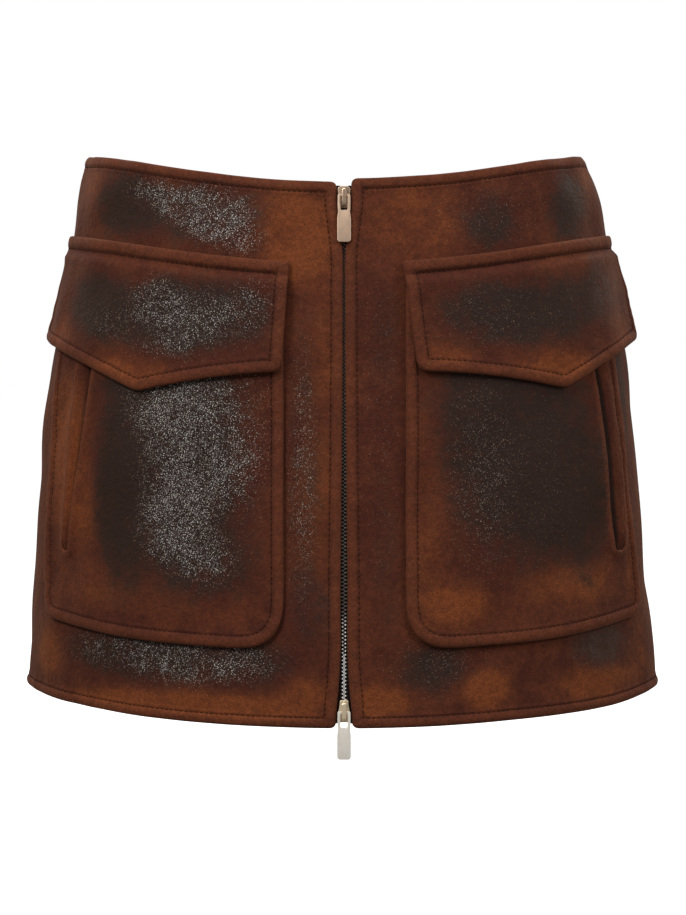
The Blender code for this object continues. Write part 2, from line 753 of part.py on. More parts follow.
def pull(name, slider_z, rise, hangs_plumb, surface):
    """A flat tab with a window under the bar that it hangs by. Its origin is on the hinge axis."""
    corner = []
    for i in range(PULL_ARC_STEPS + 1):
        turn = math.pi / 2 * i / PULL_ARC_STEPS
        x = PULL_HALF_BOTTOM - PULL_CORNER + PULL_CORNER * math.cos(turn)
        corner.append((x, -PULL_LENGTH + PULL_CORNER - PULL_CORNER * math.sin(turn)))
    top = [(PULL_HALF_TOP - PULL_SHOULDER, PULL_BAR), (PULL_HALF_TOP, PULL_BAR - PULL_SHOULDER)]
    side = top + corner
    outline = side + [(-x, z) for x, z in reversed(side)]
    window = [
        (WINDOW_HALF, -PULL_BAR),
        (WINDOW_HALF, -WINDOW_LENGTH),
        (-WINDOW_HALF, -WINDOW_LENGTH),
        (-WINDOW_HALF, -PULL_BAR),
    ]
    mesh_data = bmesh.new()
    edges = []
    for loop in (outline, window):
        ring = [mesh_data.verts.new((x, -PULL_THICKNESS / 2, z)) for x, z in loop]
        edges += [mesh_data.edges.new((ring[i - 1], ring[i])) for i in range(len(ring))]
    bmesh.ops.triangle_fill(mesh_data, use_beauty=True, use_dissolve=False, edges=edges)
    made = bmesh.ops.extrude_face_region(mesh_data, geom=mesh_data.faces[:])
    moved = [item for item in made["geom"] if isinstance(item, bmesh.types.BMVert)]
    bmesh.ops.translate(mesh_data, verts=moved, vec=(0, PULL_THICKNESS, 0))
    bmesh.ops.recalc_face_normals(mesh_data, faces=mesh_data.faces)
    mesh = bpy.data.meshes.new(name)
    mesh_data.to_mesh(mesh)
    mesh_data.free()
    obj = add_object(name, mesh, surface)
    add_bevel(obj, PULL_BEVEL)
    frame = slider_frame(slider_z) @ Matrix.Translation((0, -PULL_OUT, rise))
    obj.matrix_world = Matrix.Translation(frame.to_translation()) if hangs_plumb else frame
    return obj


# ---------------------------------------------------------------- the skirt


def main():
    for obj in list(bpy.data.objects):
        bpy.data.objects.remove(obj, do_unlink=True)
    suede = material("rust brown suede", (0.16, 0.045, 0.017), 0.75)
    tape_cloth = material("dark brown zip tape", (0.03, 0.014, 0.009), 0.9)
    metal = material("pale gold metal", (0.72, 0.57, 0.42), 0.3, metallic=1.0)
    back_panel(suede)
    for side in (LEFT, RIGHT):
        front_panel(side, suede)
        pocket(side, suede)
        flap(side, suede)
        zip_tape(side, tape_cloth)
    slider("slider_top", TOP_SLIDER_Z, 1, metal)
    slider("slider_bottom", BOTTOM_SLIDER_Z, -1, metal)
    pull("pull_top", TOP_SLIDER_Z, TOP_HINGE_RISE, False, metal)
    pull("pull_bottom", BOTTOM_SLIDER_Z, BOTTOM_HINGE_RISE, True, metal)


main()
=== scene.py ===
"""Looks of the suede mini skirt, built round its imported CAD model.

Metres, +Z up. The front faces -Y and the right side, as seen from the front, is +X.
A place on the cloth is an arc, measured round the body from centre front (negative to
the left), and a height z, as in the CAD source.
"""

import math
from collections import namedtuple

import bmesh
import bpy
import numpy as np
from mathutils import Matrix, Vector, geometry


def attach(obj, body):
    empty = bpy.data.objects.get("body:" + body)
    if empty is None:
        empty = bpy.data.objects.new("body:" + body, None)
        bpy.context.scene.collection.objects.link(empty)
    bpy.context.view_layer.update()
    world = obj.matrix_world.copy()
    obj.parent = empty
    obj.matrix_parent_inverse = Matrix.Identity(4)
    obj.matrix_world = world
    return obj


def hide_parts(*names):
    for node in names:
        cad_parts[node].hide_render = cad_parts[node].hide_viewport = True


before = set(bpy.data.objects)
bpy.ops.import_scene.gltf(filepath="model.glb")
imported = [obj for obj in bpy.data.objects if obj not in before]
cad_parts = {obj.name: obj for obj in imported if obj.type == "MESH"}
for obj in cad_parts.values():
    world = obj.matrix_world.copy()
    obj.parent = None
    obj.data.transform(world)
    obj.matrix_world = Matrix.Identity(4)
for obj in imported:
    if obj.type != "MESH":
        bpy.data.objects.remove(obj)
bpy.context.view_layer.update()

# ---------------------------------------------------------------- sizes, as in the CAD source

Section = namedtuple("Section", "z left right front back")
SECTIONS = [
    Section(0.006, 0.1570, 0.1470, 0.1000, 0.1030),
    Section(0.000, 0.1595, 0.1485, 0.1010, 0.1040),
    Section(-0.010, 0.1636, 0.1540, 0.1025, 0.1060),
    Section(-0.025, 0.1670, 0.1595, 0.1050, 0.1090),
    Section(-0.046, 0.1695, 0.1632, 0.1080, 0.1125),
    Section(-0.080, 0.1736, 0.1687, 0.1120, 0.1175),
    Section(-0.120, 0.1815, 0.1760, 0.1160, 0.1220),
    Section(-0.160, 0.1871, 0.1810, 0.1200, 0.1255),
    Section(-0.215, 0.1915, 0.1858, 0.1255, 0.1295),
    Section(-0.255, 0.1942, 0.1887, 0.1295, 0.1325),
    Section(-0.285, 0.1970, 0.1930, 0.1325, 0.1350),
    Section(-0.345, 0.1992, 0.1982, 0.1375, 0.1395),
]
WAIST_DROP_LEFT = 0.0170
WAIST_DROP_RIGHT = 0.0150
WAIST_DROP_BACK = 0.0170
WAIST_DROP_POWER = 3.0
HEM_SIDE_Z = -0.3295
HEM_DROP_FRONT = 0.0098
HEM_DROP_BACK = 0.0030
HEM_DROP_POWER = 1.6
HEM_SAG = 0.0007
HEM_SAG_RIGHT = 0.0012
HEM_SAG_ANGLE = math.radians(56)
FLUTE_DEPTH = 0.0042
FLUTE_TOP_Z = -0.130
FLUTE_TURNS = 5.0
SEAM_GAP = 0.0003

Opening = namedtuple("Opening", "z half")
ZIP_OPENING = [
    Opening(-0.010, 0.0042),
    Opening(-0.030, 0.0041),
    Opening(-0.040, 0.0030),
    Opening(-0.056, 0.0010),
    Opening(-0.087, 0.0007),
    Opening(-0.170, 0.0011),
    Opening(-0.264, 0.0020),
    Opening(-0.300, 0.0022),
    Opening(-0.318, 0.0034),
    Opening(-0.326, 0.0042),
    Opening(-0.340, 0.0047),
]
FLAP_TOP_SIDE_Z = -0.0495
FLAP_TOP_DROP = 0.0160
FLAP_END_LENGTH = 0.0660
FLAP_POINT_LENGTH = 0.0868
FLAP_EDGE_POWER = 1.5
FLAP_BAND_LIFT = 0.0007
FLAP_BAND = 0.0078
FLAP_FIELD_START = 0.0140
FLAP_OVER_POCKET_LIFT = 0.0042
FLAP_LOWER_LIFT = 0.0008
FLAP_SIDE_MARGIN = 0.0080
FLAP_PRESSED = 0.0006
FLAP_PRESSED_LOW = 0.0003
FLAP_BAND_SINK = 0.0009
FLAP_BAND_STANDS = 0.0006
FLAP_PRESSED_THIN = 0.38  # the share of its thickness that the pressed end loses
POCKET_BELOW_FLAP_TOP = 0.0150
POCKET_ABOVE_HEM = 0.0450
POCKET_OUTER_RISE = 0.0035
POCKET_RISE_START = math.radians(35)
POCKET_OUTER_ARC = 0.2000
POCKET_BULGE = 0.0014
LAY_GAP = 0.0006
LIP_RISE = 0.0014
LIP_WIDTH = 0.0070
LIP_FADE_TOP_Z = -0.118
LIP_FULL_Z = -0.150
LIP_FOOT_Z = -0.242
LIP_FOOT_FADE = 0.015

PocketSide = namedtuple("PocketSide", "z inner_lip outer_lip outer_edge")
# In a Side, shade is how dark the painted shade inside the side opening is, and shade_from how far across the
# opening it starts to fade.
Side = namedtuple(
    "Side",
    "name sign flap_inner_top flap_inner_bottom flap_point flap_end_top flap_end_foot"
    " pocket_inner shade shade_from pocket",
)
LEFT = Side(
    name="left",
    sign=-1,
    flap_inner_top=0.0322,
    flap_inner_bottom=0.0362,
    flap_point=0.1263,
    flap_end_top=0.0010,
    flap_end_foot=0.0038,
    pocket_inner=0.0356,
    shade=0.6,
    shade_from=0.34,
    pocket=[
        PocketSide(-0.060, 0.1550, 0.1670, 0.1970),
        PocketSide(-0.105, 0.1598, 0.1722, 0.2010),
        PocketSide(-0.134, 0.1632, 0.1756, 0.2035),
        PocketSide(-0.161, 0.1672, 0.1795, 0.2060),
        PocketSide(-0.192, 0.1732, 0.1822, 0.2078),
        PocketSide(-0.215, 0.1780, 0.1856, 0.2090),
        PocketSide(-0.243, 0.1832, 0.1888, 0.2095),
        PocketSide(-0.300, 0.1860, 0.1930, 0.2080),
    ],
)
RIGHT = Side(
    name="right",
    sign=1,
    flap_inner_top=0.0346,
    flap_inner_bottom=0.0432,
    flap_point=0.1372,
    flap_end_top=0.0036,
    flap_end_foot=0.0062,
    pocket_inner=0.0365,
    shade=0.95,
    shade_from=0.43,
    pocket=[
        PocketSide(-0.060, 0.1560, 0.1670, 0.1830),
        PocketSide(-0.105, 0.1605, 0.1722, 0.1862),
        PocketSide(-0.134, 0.1640, 0.1762, 0.1890),
        PocketSide(-0.165, 0.1686, 0.1820, 0.1938),
        PocketSide(-0.198, 0.1732, 0.1876, 0.1992),
        PocketSide(-0.223, 0.1772, 0.1896, 0.2025),
        PocketSide(-0.243, 0.1806, 0.1900, 0.2062),
        PocketSide(-0.300, 0.1850, 0.1930, 0.2112),
    ],
)

# ---------------------------------------------------------------- body surface


def column(table, name, at):
    """A smooth curve through one named column of a table whose rows go down in z."""
    keys = np.array([row.z for row in table])[::-1]
    values = np.array([getattr(row, name) for row in table])[::-1]
    slopes = np.gradient(values, keys)
    at = np.clip(at, keys[0], keys[-1])
    i = np.clip(np.searchsorted(keys, at) - 1, 0, len(keys) - 2)
    span = keys[i + 1] - keys[i]
    t = (at - keys[i]) / span
    low = (2 * t**3 - 3 * t**2 + 1) * values[i] + (t**3 - 2 * t**2 + t) * span * slopes[i]
    high = (3 * t**2 - 2 * t**3) * values[i + 1] + (t**3 - t**2) * span * slopes[i + 1]
    return low + high


def ease(value):
    value = np.clip(value, 0.0, 1.0)
    return value * value * (3 - 2 * value)


def bell(distance, width):
    return np.exp(-((distance / width) ** 2))


TABLE_Z = np.linspace(-0.365, 0.020, 194)
TABLE_ARC = np.arange(0.0, 0.56, 0.0005)


def arc_tables(name):
    """For one side: the angle at each height and arc, and the arcs of the side and of centre back."""
    turn = np.linspace(0.0, math.pi, 721)
    angles, sides, backs = [], [], []
    for z in TABLE_Z:
        wide = column(SECTIONS, name, z)
        deep = np.where(np.cos(turn) >= 0, column(SECTIONS, "front", z), column(SECTIONS, "back", z))
        speed = np.hypot(wide * np.cos(turn), deep * np.sin(turn))
        arcs = np.concatenate([[0.0], np.cumsum((speed[1:] + speed[:-1]) / 2 * np.diff(turn))])
        angles.append(np.interp(TABLE_ARC, arcs, turn))
        sides.append(np.interp(math.pi / 2, turn, arcs))
        backs.append(arcs[-1])
    return np.array(angles), np.array(sides), np.array(backs)


ARCS = {-1: arc_tables("left"), 1: arc_tables("right")}


def angle_one_side(arc, z, sign):
    table = ARCS[sign][0]
    row = np.clip((z - TABLE_Z[0]) / (TABLE_Z[1] - TABLE_Z[0]), 0, len(TABLE_Z) - 1.001)
    col = np.clip(arc / (TABLE_ARC[1] - TABLE_ARC[0]), 0, len(TABLE_ARC) - 1.001)
    r, c = row.astype(int), col.astype(int)
    fr, fc = row - r, col - c
    low = table[r, c] * (1 - fc) + table[r, c + 1] * fc
    high = table[r + 1, c] * (1 - fc) + table[r + 1, c + 1] * fc
    return low * (1 - fr) + high * fr


def angle_at(arc, z):
    arc, z = np.broadcast_arrays(np.asarray(arc, float), np.asarray(z, float))
    return np.where(arc >= 0, angle_one_side(arc, z, 1), -angle_one_side(-arc, z, -1))


def side_arc(z, sign):
    return np.interp(z, TABLE_Z, ARCS[sign][1])


def back_arc(z, sign):
    return np.interp(z, TABLE_Z, ARCS[sign][2])


def body_point(angle, z):
    wide = np.where(np.sin(angle) >= 0, column(SECTIONS, "right", z), column(SECTIONS, "left", z))
    deep = np.where(np.cos(angle) >= 0, column(SECTIONS, "front", z), column(SECTIONS, "back", z))
    low = ease((FLUTE_TOP_Z - z) / (FLUTE_TOP_Z - HEM_SIDE_Z))
    out = FLUTE_DEPTH * low * np.maximum(-np.cos(angle), 0) * np.cos(FLUTE_TURNS * (angle - math.pi))
    return np.stack([(wide + out) * np.sin(angle), -(deep + out) * np.cos(angle), z], -1)


def body_normal(angle, z):
    across = body_point(angle + 0.002, z) - body_point(angle - 0.002, z)
    up = body_point(angle, z + 0.0005) - body_point(angle, z - 0.0005)
    normal = np.cross(across, up)
    return normal / np.linalg.norm(normal, axis=-1, keepdims=True)


# ---------------------------------------------------------------- soft relief of the worn suede

# Creases: middle arc and height, direction from level, half length, half width, depth
Crease = namedtuple("Crease", "arc z turn reach width depth")
CREASES = [
    Crease(-0.110, -0.030, 12, 0.050, 0.012, -0.0006),
    Crease(-0.150, -0.022, 35, 0.030, 0.009, 0.0006),
    Crease(0.100, -0.034, -10, 0.050, 0.012, -0.0006),
    Crease(0.145, -0.020, -40, 0.028, 0.009, 0.0006),
    Crease(-0.018, -0.150, 88, 0.090, 0.008, 0.0005),
    Crease(0.019, -0.180, 92, 0.100, 0.008, 0.0005),
    Crease(-0.120, -0.318, 8, 0.060, 0.010, -0.0005),
    Crease(-0.060, -0.312, -14, 0.040, 0.010, 0.0005),
    Crease(0.120, -0.316, -8, 0.060, 0.010, -0.0005),
    Crease(0.060, -0.313, 12, 0.045, 0.010, 0.0005),
    Crease(-0.225, -0.090, 75, 0.070, 0.012, -0.0008),
    Crease(-0.235, -0.250, 88, 0.090, 0.016, 0.0009),
    Crease(0.225, -0.090, -75, 0.070, 0.012, -0.0008),
    Crease(0.235, -0.250, 92, 0.090, 0.016, 0.0009),
    Crease(-0.330, -0.060, 20, 0.060, 0.012, -0.0009),
    Crease(0.335, -0.065, -22, 0.060, 0.012, -0.0009),
    Crease(-0.400, -0.110, 8, 0.070, 0.014, 0.0008),
    Crease(0.405, -0.115, -10, 0.070, 0.014, 0.0008),
    Crease(-0.350, -0.240, 86, 0.080, 0.015, -0.0009),
    Crease(0.350, -0.245, 95, 0.080, 0.015, -0.0009),
]
# Long soft waves: waves round the whole body, waves per metre up it, phase, height
Wave = namedtuple("Wave", "round up phase height")
WAVES = [
    Wave(10, 3.0, 0.4, 0.00050),
    Wave(-7, 11.0, 2.1, 0.00042),
    Wave(18, 7.0, 4.0, 0.00026),
    Wave(-14, 19.0, 1.2, 0.00022),
    Wave(33, -12.0, 5.3, 0.00014),
    Wave(-47, 9.0, 3.3, 0.00008),
]
RELIEF_START = 0.012  # the zip edges are flat, and all the relief is there from here on


def relief(arc, z, angle):
    """Height of the creases and waves that all layers share."""
    total = np.zeros(np.shape(arc))
    for crease in CREASES:
        turn = math.radians(crease.turn)
        along = (arc - crease.arc) * math.cos(turn) + (z - crease.z) * math.sin(turn)
        across = (z - crease.z) * math.cos(turn) - (arc - crease.arc) * math.sin(turn)
        total += crease.depth * bell(across, crease.width) * bell(along, crease.reach)
    for wave in WAVES:
        total += wave.height * np.sin(wave.round * angle + 2 * math.pi * wave.up * z + wave.phase)
    return total * ease(np.abs(arc) / RELIEF_START)


def lifted(arc, z, lift):
    """Points in space at a height off the body."""
    arc, z, lift = np.broadcast_arrays(np.asarray(arc, float), np.asarray(z, float), np.asarray(lift, float))
    angle = angle_at(arc, z)
    return body_point(angle, z) + body_normal(angle, z) * (lift + relief(arc, z, angle))[..., None]


def waist_z(angle):
    cosine = np.cos(angle)
    front = np.where(angle >= 0, WAIST_DROP_RIGHT, WAIST_DROP_LEFT)
    drop = np.where(cosine < 0, WAIST_DROP_BACK, front)
    return -drop * np.abs(cosine) ** WAIST_DROP_POWER


def hem_z(angle):
    cosine = np.cos(angle)
    drop = np.where(cosine >= 0, HEM_DROP_FRONT, HEM_DROP_BACK)
    return HEM_SIDE_Z - drop * np.abs(cosine) ** HEM_DROP_POWER


def hem_line(angle):
    """Where the cloth's own edge runs: it sags a little below the even hem, most on the right."""
    ahead = np.maximum(np.cos(angle), 0)
    sag = HEM_SAG * (1 - (1 - ahead) ** 3) + HEM_SAG_RIGHT * bell(angle - HEM_SAG_ANGLE, 0.24)
    return hem_z(angle) - np.where(np.cos(angle) > 0, sag, 0.0)


def flap_top_z(angle):
    return FLAP_TOP_SIDE_Z - FLAP_TOP_DROP * np.maximum(np.cos(angle), 0) ** WAIST_DROP_POWER


# ---------------------------------------------------------------- outlines of cut pieces

# How far in from an edge its stitch line runs. Edges that aren't named here have none.
STITCH_IN = {"waist": 0.0066, "hem": 0.0061, "zip": 0.0070, "patch": 0.0071, "band": 0.0078}
OUTLINE_STEP = 0.0016
CHUNK = 2000  # points measured at a time


def lengths_along(points):
    return np.concatenate([[0.0], np.cumsum(np.linalg.norm(np.diff(points, axis=0), axis=1))])


def resampled(points, step):
    """The same line with evenly spaced points, both ends kept."""
    points = np.asarray(points, float)
    lengths = lengths_along(points)
    count = max(int(round(lengths[-1] / step)), 1)
    at = np.linspace(0.0, lengths[-1], count + 1)
    return np.stack([np.interp(at, lengths, points[:, k]) for k in range(points.shape[1])], -1)


def outline_of(edges, radii):
    """A closed outline from edges of (kind, points), with each shared corner rounded by its own reach."""
    fine = [(kind, resampled(points, 0.0004)) for kind, points in edges]
    lines = []
    for i, (kind, points) in enumerate(fine):
        start, end = radii[i], radii[(i + 1) % len(fine)]
        lengths = lengths_along(points)
        keep = (lengths >= start) & (lengths <= lengths[-1] - end)
        lines.append((kind, points[keep], points[0]))
    loop, kinds = [], []

    def add(kind, points, step):
        loop.append(resampled(points, step)[:-1])
        kinds.extend([kind] * len(loop[-1]))

    for i, (kind, points, corner) in enumerate(lines):
        previous_kind, previous, _ = lines[i - 1]
        if radii[i]:
            t = np.linspace(0, 1, 13)[:, None]
            bend = (1 - t) ** 2 * previous[-1] + 2 * t * (1 - t) * corner + t**2 * points[0]
            half = len(bend) // 2
            add(previous_kind, bend[: half + 1], OUTLINE_STEP / 2)
            add(kind, bend[half:], OUTLINE_STEP / 2)
        add(kind, points, OUTLINE_STEP)
    return np.concatenate(loop), np.array(kinds)


def edge_distances(points, loop, kinds):
    """For each kind of edge: how far every point is from it, and the length along the outline to there."""
    ends = np.roll(loop, -1, axis=0)
    spans = np.linalg.norm(ends - loop, axis=1)
    starts = np.concatenate([[0.0], np.cumsum(spans)[:-1]])
    found = {}
    for kind in sorted(set(kinds)):
        chosen = kinds == kind
        a, span, start = loop[chosen], spans[chosen], starts[chosen]
        way = (ends[chosen] - a) / span[:, None]
        distance = np.empty(len(points))
        along = np.empty(len(points))
        for low in range(0, len(points), CHUNK):
            part = points[low : low + CHUNK, None, :] - a[None]
            t = np.clip((part * way[None]).sum(-1), 0.0, span[None])
            gap = np.linalg.norm(part - t[..., None] * way[None], axis=-1)
            nearest = gap.argmin(1)
            rows = np.arange(len(nearest))
            distance[low : low + CHUNK] = gap[rows, nearest]
            along[low : low + CHUNK] = start[nearest] + t[rows, nearest]
        found[kind] = (distance, along)
    return found


def lip_distance(points, hole):
    return edge_distances(points, hole, np.full(len(hole), "lip"))["lip"][0]


def stitch_share(distances):
    """Distance from the nearest stitched edge as a share of its stitch distance, and the length along it."""
    stitched = [kind for kind in distances if kind in STITCH_IN]
    shares = np.array([distances[kind][0] / STITCH_IN[kind] for kind in stitched])
    lengths = np.array([distances[kind][1] for kind in stitched])
    nearest, rows = shares.argmin(0), np.arange(shares.shape[1])
    return shares[nearest, rows], lengths[nearest, rows]


# Lines of mesh points along the edges: as shares of the stitch distance, and in metres where none is sewn
RIM_LEVELS = [0.035, 0.08, 0.15, 0.24, 0.34, 0.47, 0.60, 0.73, 0.84, 0.92, 1.0, 1.08, 1.17, 1.30, 1.48, 1.70]
PLAIN_LEVELS = [0.0002, 0.0005, 0.0010, 0.0016, 0.0026, 0.0040]
FIELD_FROM_SHARE = 1.85  # where the even field of points starts
FIELD_FROM = 0.0055
LIP_CLEAR = 0.00015
POINT_MERGE = 0.00030
PATTERN_SCALE = 100.0  # the triangulation works on larger numbers than metres


def inside(points, loop):
    """Whether each point is inside a closed outline."""
    x, y = points[:, 0], points[:, 1]
    result = np.zeros(len(points), bool)
    ends = np.roll(loop, -1, axis=0)
    for (ax, ay), (bx, by) in zip(loop, ends):
        if ay == by:
            continue
        crosses = ((ay > y) != (by > y)) & (x < (bx - ax) * (y - ay) / (by - ay) + ax)
        result ^= crosses
    return result


def inward_normals(loop):
    ahead = np.roll(loop, -1, axis=0) - np.roll(loop, 1, axis=0)
    normal = np.stack([-ahead[:, 1], ahead[:, 0]], -1)
    normal /= np.linalg.norm(normal, axis=1, keepdims=True)
    area = (loop[:, 0] * np.roll(loop[:, 1], -1) - np.roll(loop[:, 0], -1) * loop[:, 1]).sum()
    return normal if area > 0 else -normal


def ring_points(loop, kinds, level, rim):
    """Points of a line inside the outline: at a share of the stitch distance, or at a plain distance."""
    chosen = np.array([(kind in STITCH_IN) == rim for kind in kinds])
    if not chosen.any():
        return np.empty((0, 2))
    reach = np.array([STITCH_IN.get(kind, 1.0) if rim else 1.0 for kind in kinds]) * level
    points = (loop + inward_normals(loop) * reach[:, None])[chosen]
    distances = edge_distances(points, loop, kinds)
    if rim:
        share, _ = stitch_share(distances)
        good = np.abs(share - level) < 0.015 + 0.02 * level
    else:
        nearest = np.min([distance for distance, _ in distances.values()], axis=0)
        good = nearest > level * 0.95
    return points[good & inside(points, loop)]


# share and along belong to the nearest stitch line, and lines has a share for each line that crosses others
Measure = namedtuple("Measure", "share along rim seam lip lines")
Cut = namedtuple("Cut", "name place loop kinds hole spacing")


def measure(cut, points):
    """Distances of pattern points from the edges of a cut piece."""
    distances = edge_distances(points, cut.loop, cut.kinds)
    share, along = stitch_share(distances)
    rim = np.min([d for kind, (d, _) in distances.items() if kind in STITCH_IN], axis=0)
    far = np.full(len(points), 1.0)
    seam = distances["seam"][0] if "seam" in distances else far
    lip = far
    if cut.hole is not None:
        lip = np.where(inside(points, cut.hole), 0.0, lip_distance(points, cut.hole))
    lines = [share]
    if "band" in distances:
        lines = [distances[kind][0] / STITCH_IN[kind] for kind in ("band", "patch")]
    return Measure(share, along, rim, seam, lip, lines)


def near_line(found, width):
    """1 on a stitch line, and 0 away from it."""
    return np.max([bell(line - 1.0, width) for line in found.lines], axis=0)


def fill_pattern(loop, kinds, spacing, hole=None):
    """Points and triangles that fill an outline: dense lines along its edges and an even field inside."""
    walls = [loop] if hole is None else [loop, hole]
    sets = list(walls)
    for level in RIM_LEVELS:
        sets.append(ring_points(loop, kinds, level, True))
    for level in PLAIN_LEVELS:
        sets.append(ring_points(loop, kinds, level, False))
        if hole is not None:
            sets.append(hole - inward_normals(hole) * level)
    low, high = loop.min(0), loop.max(0)
    across = np.arange(low[0] + spacing / 2, high[0], spacing)
    up = np.arange(low[1] + spacing / 2, high[1], spacing * math.sqrt(3) / 2)
    field = np.stack(np.meshgrid(across, up), -1)
    field[1::2, :, 0] += spacing / 2
    field = field.reshape(-1, 2)
    field = field[inside(field, loop)]
    clear = np.ones(len(field), bool)
    for kind, (distance, _) in edge_distances(field, loop, kinds).items():
        clear &= distance > (STITCH_IN[kind] * FIELD_FROM_SHARE if kind in STITCH_IN else FIELD_FROM)
    if hole is not None:
        clear &= lip_distance(field, hole) > FIELD_FROM
    points = np.concatenate([*sets, field[clear]])
    fixed = sum(len(wall) for wall in walls)
    if hole is not None:
        keep = (lip_distance(points, hole) > LIP_CLEAR) & ~inside(points, hole)
        keep[:fixed] = True
        points = points[keep]
    _, first = np.unique(np.round(points / POINT_MERGE).astype(int), axis=0, return_index=True)
    keep = np.zeros(len(points), bool)
    keep[first] = True
    keep[:fixed] = True
    points = points[keep]
    edges, start = [], 0
    for wall in walls:
        edges += [(start + i, start + (i + 1) % len(wall)) for i in range(len(wall))]
        start += len(wall)
    verts, _, faces, *_ = geometry.delaunay_2d_cdt(
        [Vector(point * PATTERN_SCALE) for point in points], edges, [], 0, 1e-7, False
    )
    verts = np.array(verts) / PATTERN_SCALE
    faces = np.array([face for face in faces if len(face) == 3])
    middle = verts[faces].mean(1)
    keep = inside(middle, loop)
    if hole is not None:
        keep &= ~inside(middle, hole)
    return verts, faces[keep]


def boundary_mask(count, faces):
    edges = np.sort(np.concatenate([faces[:, [0, 1]], faces[:, [1, 2]], faces[:, [2, 0]]]), axis=1)
    unique, times = np.unique(edges, axis=0, return_counts=True)
    mask = np.zeros(count, bool)
    mask[unique[times == 1].ravel()] = True
    return mask


def mesh_object(name, verts, faces, surface, attributes=None, uv=None, sharp=None):
    mesh = bpy.data.meshes.new(name)
    mesh.from_pydata(np.asarray(verts).tolist(), [], faces if isinstance(faces, list) else faces.tolist())
    for key, values in (attributes or {}).items():
        layer = mesh.attributes.new(key, "FLOAT", "POINT")
        layer.data.foreach_set("value", np.ascontiguousarray(values, np.float32))
    if uv is not None:
        layer = mesh.uv_layers.new(name="pattern")
        corners = np.empty(len(mesh.loops), np.int32)
        mesh.loops.foreach_get("vertex_index", corners)
        layer.data.foreach_set("uv", np.ascontiguousarray(uv[corners].ravel(), np.float32))
    mesh.materials.append(surface)
    mesh.shade_smooth()
    if sharp:
        mesh.set_sharp_from_angle(angle=math.radians(sharp))
    mesh.update()
    obj = bpy.data.objects.new(name, mesh)
    bpy.context.scene.collection.objects.link(obj)
    return obj


def cloth(cut, lifts, paint, surface):
    """A closed shell of suede whose outer and inner face meet in a rounded edge.

    lifts gives the heights of both faces off the body at pattern points, and paint their colours.
    """
    points, faces = fill_pattern(cut.loop, cut.kinds, cut.spacing, cut.hole)
    found = measure(cut, points)
    on_edge = boundary_mask(len(points), faces)
    outer_lift, inner_lift = lifts(points, found)
    arc, z = cut.place(points)
    outer = lifted(arc, z, outer_lift)
    inner = lifted(arc, z, inner_lift)
    inner_index = np.arange(len(points))
    inside_only = np.flatnonzero(~on_edge)
    inner_index[inside_only] = len(points) + np.arange(len(inside_only))
    verts = np.concatenate([outer, inner[inside_only]])
    a, b, c = (outer[faces[:, k]] for k in range(3))
    outward = body_normal(angle_at(arc[faces[:, 0]], z[faces[:, 0]]), z[faces[:, 0]])
    flip = (np.cross(b - a, c - a) * outward).sum(-1) < 0
    faces[flip] = faces[flip][:, ::-1]
    all_faces = np.concatenate([faces, inner_index[faces][:, ::-1]])
    colours = paint(arc, z, found)
    colours = {key: np.concatenate([values, values[inside_only]]) for key, values in colours.items()}
    colours["inside"] = np.concatenate([np.zeros(len(points)), np.ones(len(inside_only))])
    uv = np.stack([arc, z], -1)
    uv = np.concatenate([uv, uv[inside_only]])
    return mesh_object(cut.name, verts, all_faces, surface, colours, uv)


# ---------------------------------------------------------------- edge profiles

PANEL_WALL = 0.0020
PANEL_NOSE = 0.0015
PANEL_TURNED = 0.0009  # how much the turned edge stands up outside, and inside
PANEL_TURNED_IN = 0.0004
PATCH_WALL = 0.0022
PATCH_NOSE = 0.0020
PATCH_TURNED = 0.0010
SEAM_NOSE = 0.0010
GROOVE = 0.0010
GROOVE_WIDTH = 0.115
PUCKER = 0.00032
PUCKER_LENGTHS = (0.0065, 0.0031)
EDGE_PILLOW = 0.00050


def nose(distance, radius):
    """0 at the middle of a rounded edge, 1 once the edge is rounded off."""
    t = 1 - np.clip(distance / radius, 0, 1)
    return np.sqrt(np.maximum(1 - t * t, 0.0))


def noise_line(along, seed, size):
    """Smooth noise from -1 to 1 along a line."""
    rng = np.random.default_rng(seed)
    knots = rng.uniform(-1, 1, 4096)
    at = along / size
    i = np.floor(at).astype(int) % 4095
    return knots[i] + (knots[i + 1] - knots[i]) * ease(at - np.floor(at))


def stitched_relief(found, turned, groove, seed):
    """Outer face of a turned and stitched edge: a raised band, the stitch groove, and puckers beside it."""
    share, along = found.share, found.along
    band = turned * (1 - ease((share - 0.97) / 0.42))
    pillow = EDGE_PILLOW * bell(share - 0.52, 0.30)
    cut = groove * near_line(found, GROOVE_WIDTH)
    long, short = PUCKER_LENGTHS
    ripple = PUCKER * (noise_line(along, seed, long) + 0.6 * noise_line(along, seed + 1, short))
    return band + pillow - cut + ripple * bell(share - 0.95, 0.75)


def panel_lifts(seed):
    def lifts(points, found):
        high = stitched_relief(found, PANEL_TURNED, GROOVE, seed)
        low = -PANEL_WALL - PANEL_TURNED_IN * (1 - ease((found.share - 1.15) / 0.3))
        middle = (PANEL_TURNED - PANEL_WALL - PANEL_TURNED_IN) / 2
        round_rim = nose(found.rim, PANEL_NOSE)
        round_seam = nose(found.seam, SEAM_NOSE)
        faces = [middle + (face - middle) * round_rim for face in (high, low)]
        return [-PANEL_WALL / 2 + (face + PANEL_WALL / 2) * round_seam for face in faces]

    return lifts


def patch_thickness(found, band_share, seed):
    """Outer face of a patch above its inner one, and the height of the middle of its rounded edge."""
    high = PATCH_WALL + stitched_relief(found, PATCH_TURNED, GROOVE, seed) + band_share
    middle = (PATCH_WALL + PATCH_TURNED) / 2
    round_rim = nose(found.rim, PATCH_NOSE)
    return middle + (high - middle) * round_rim, middle * (1 - round_rim)


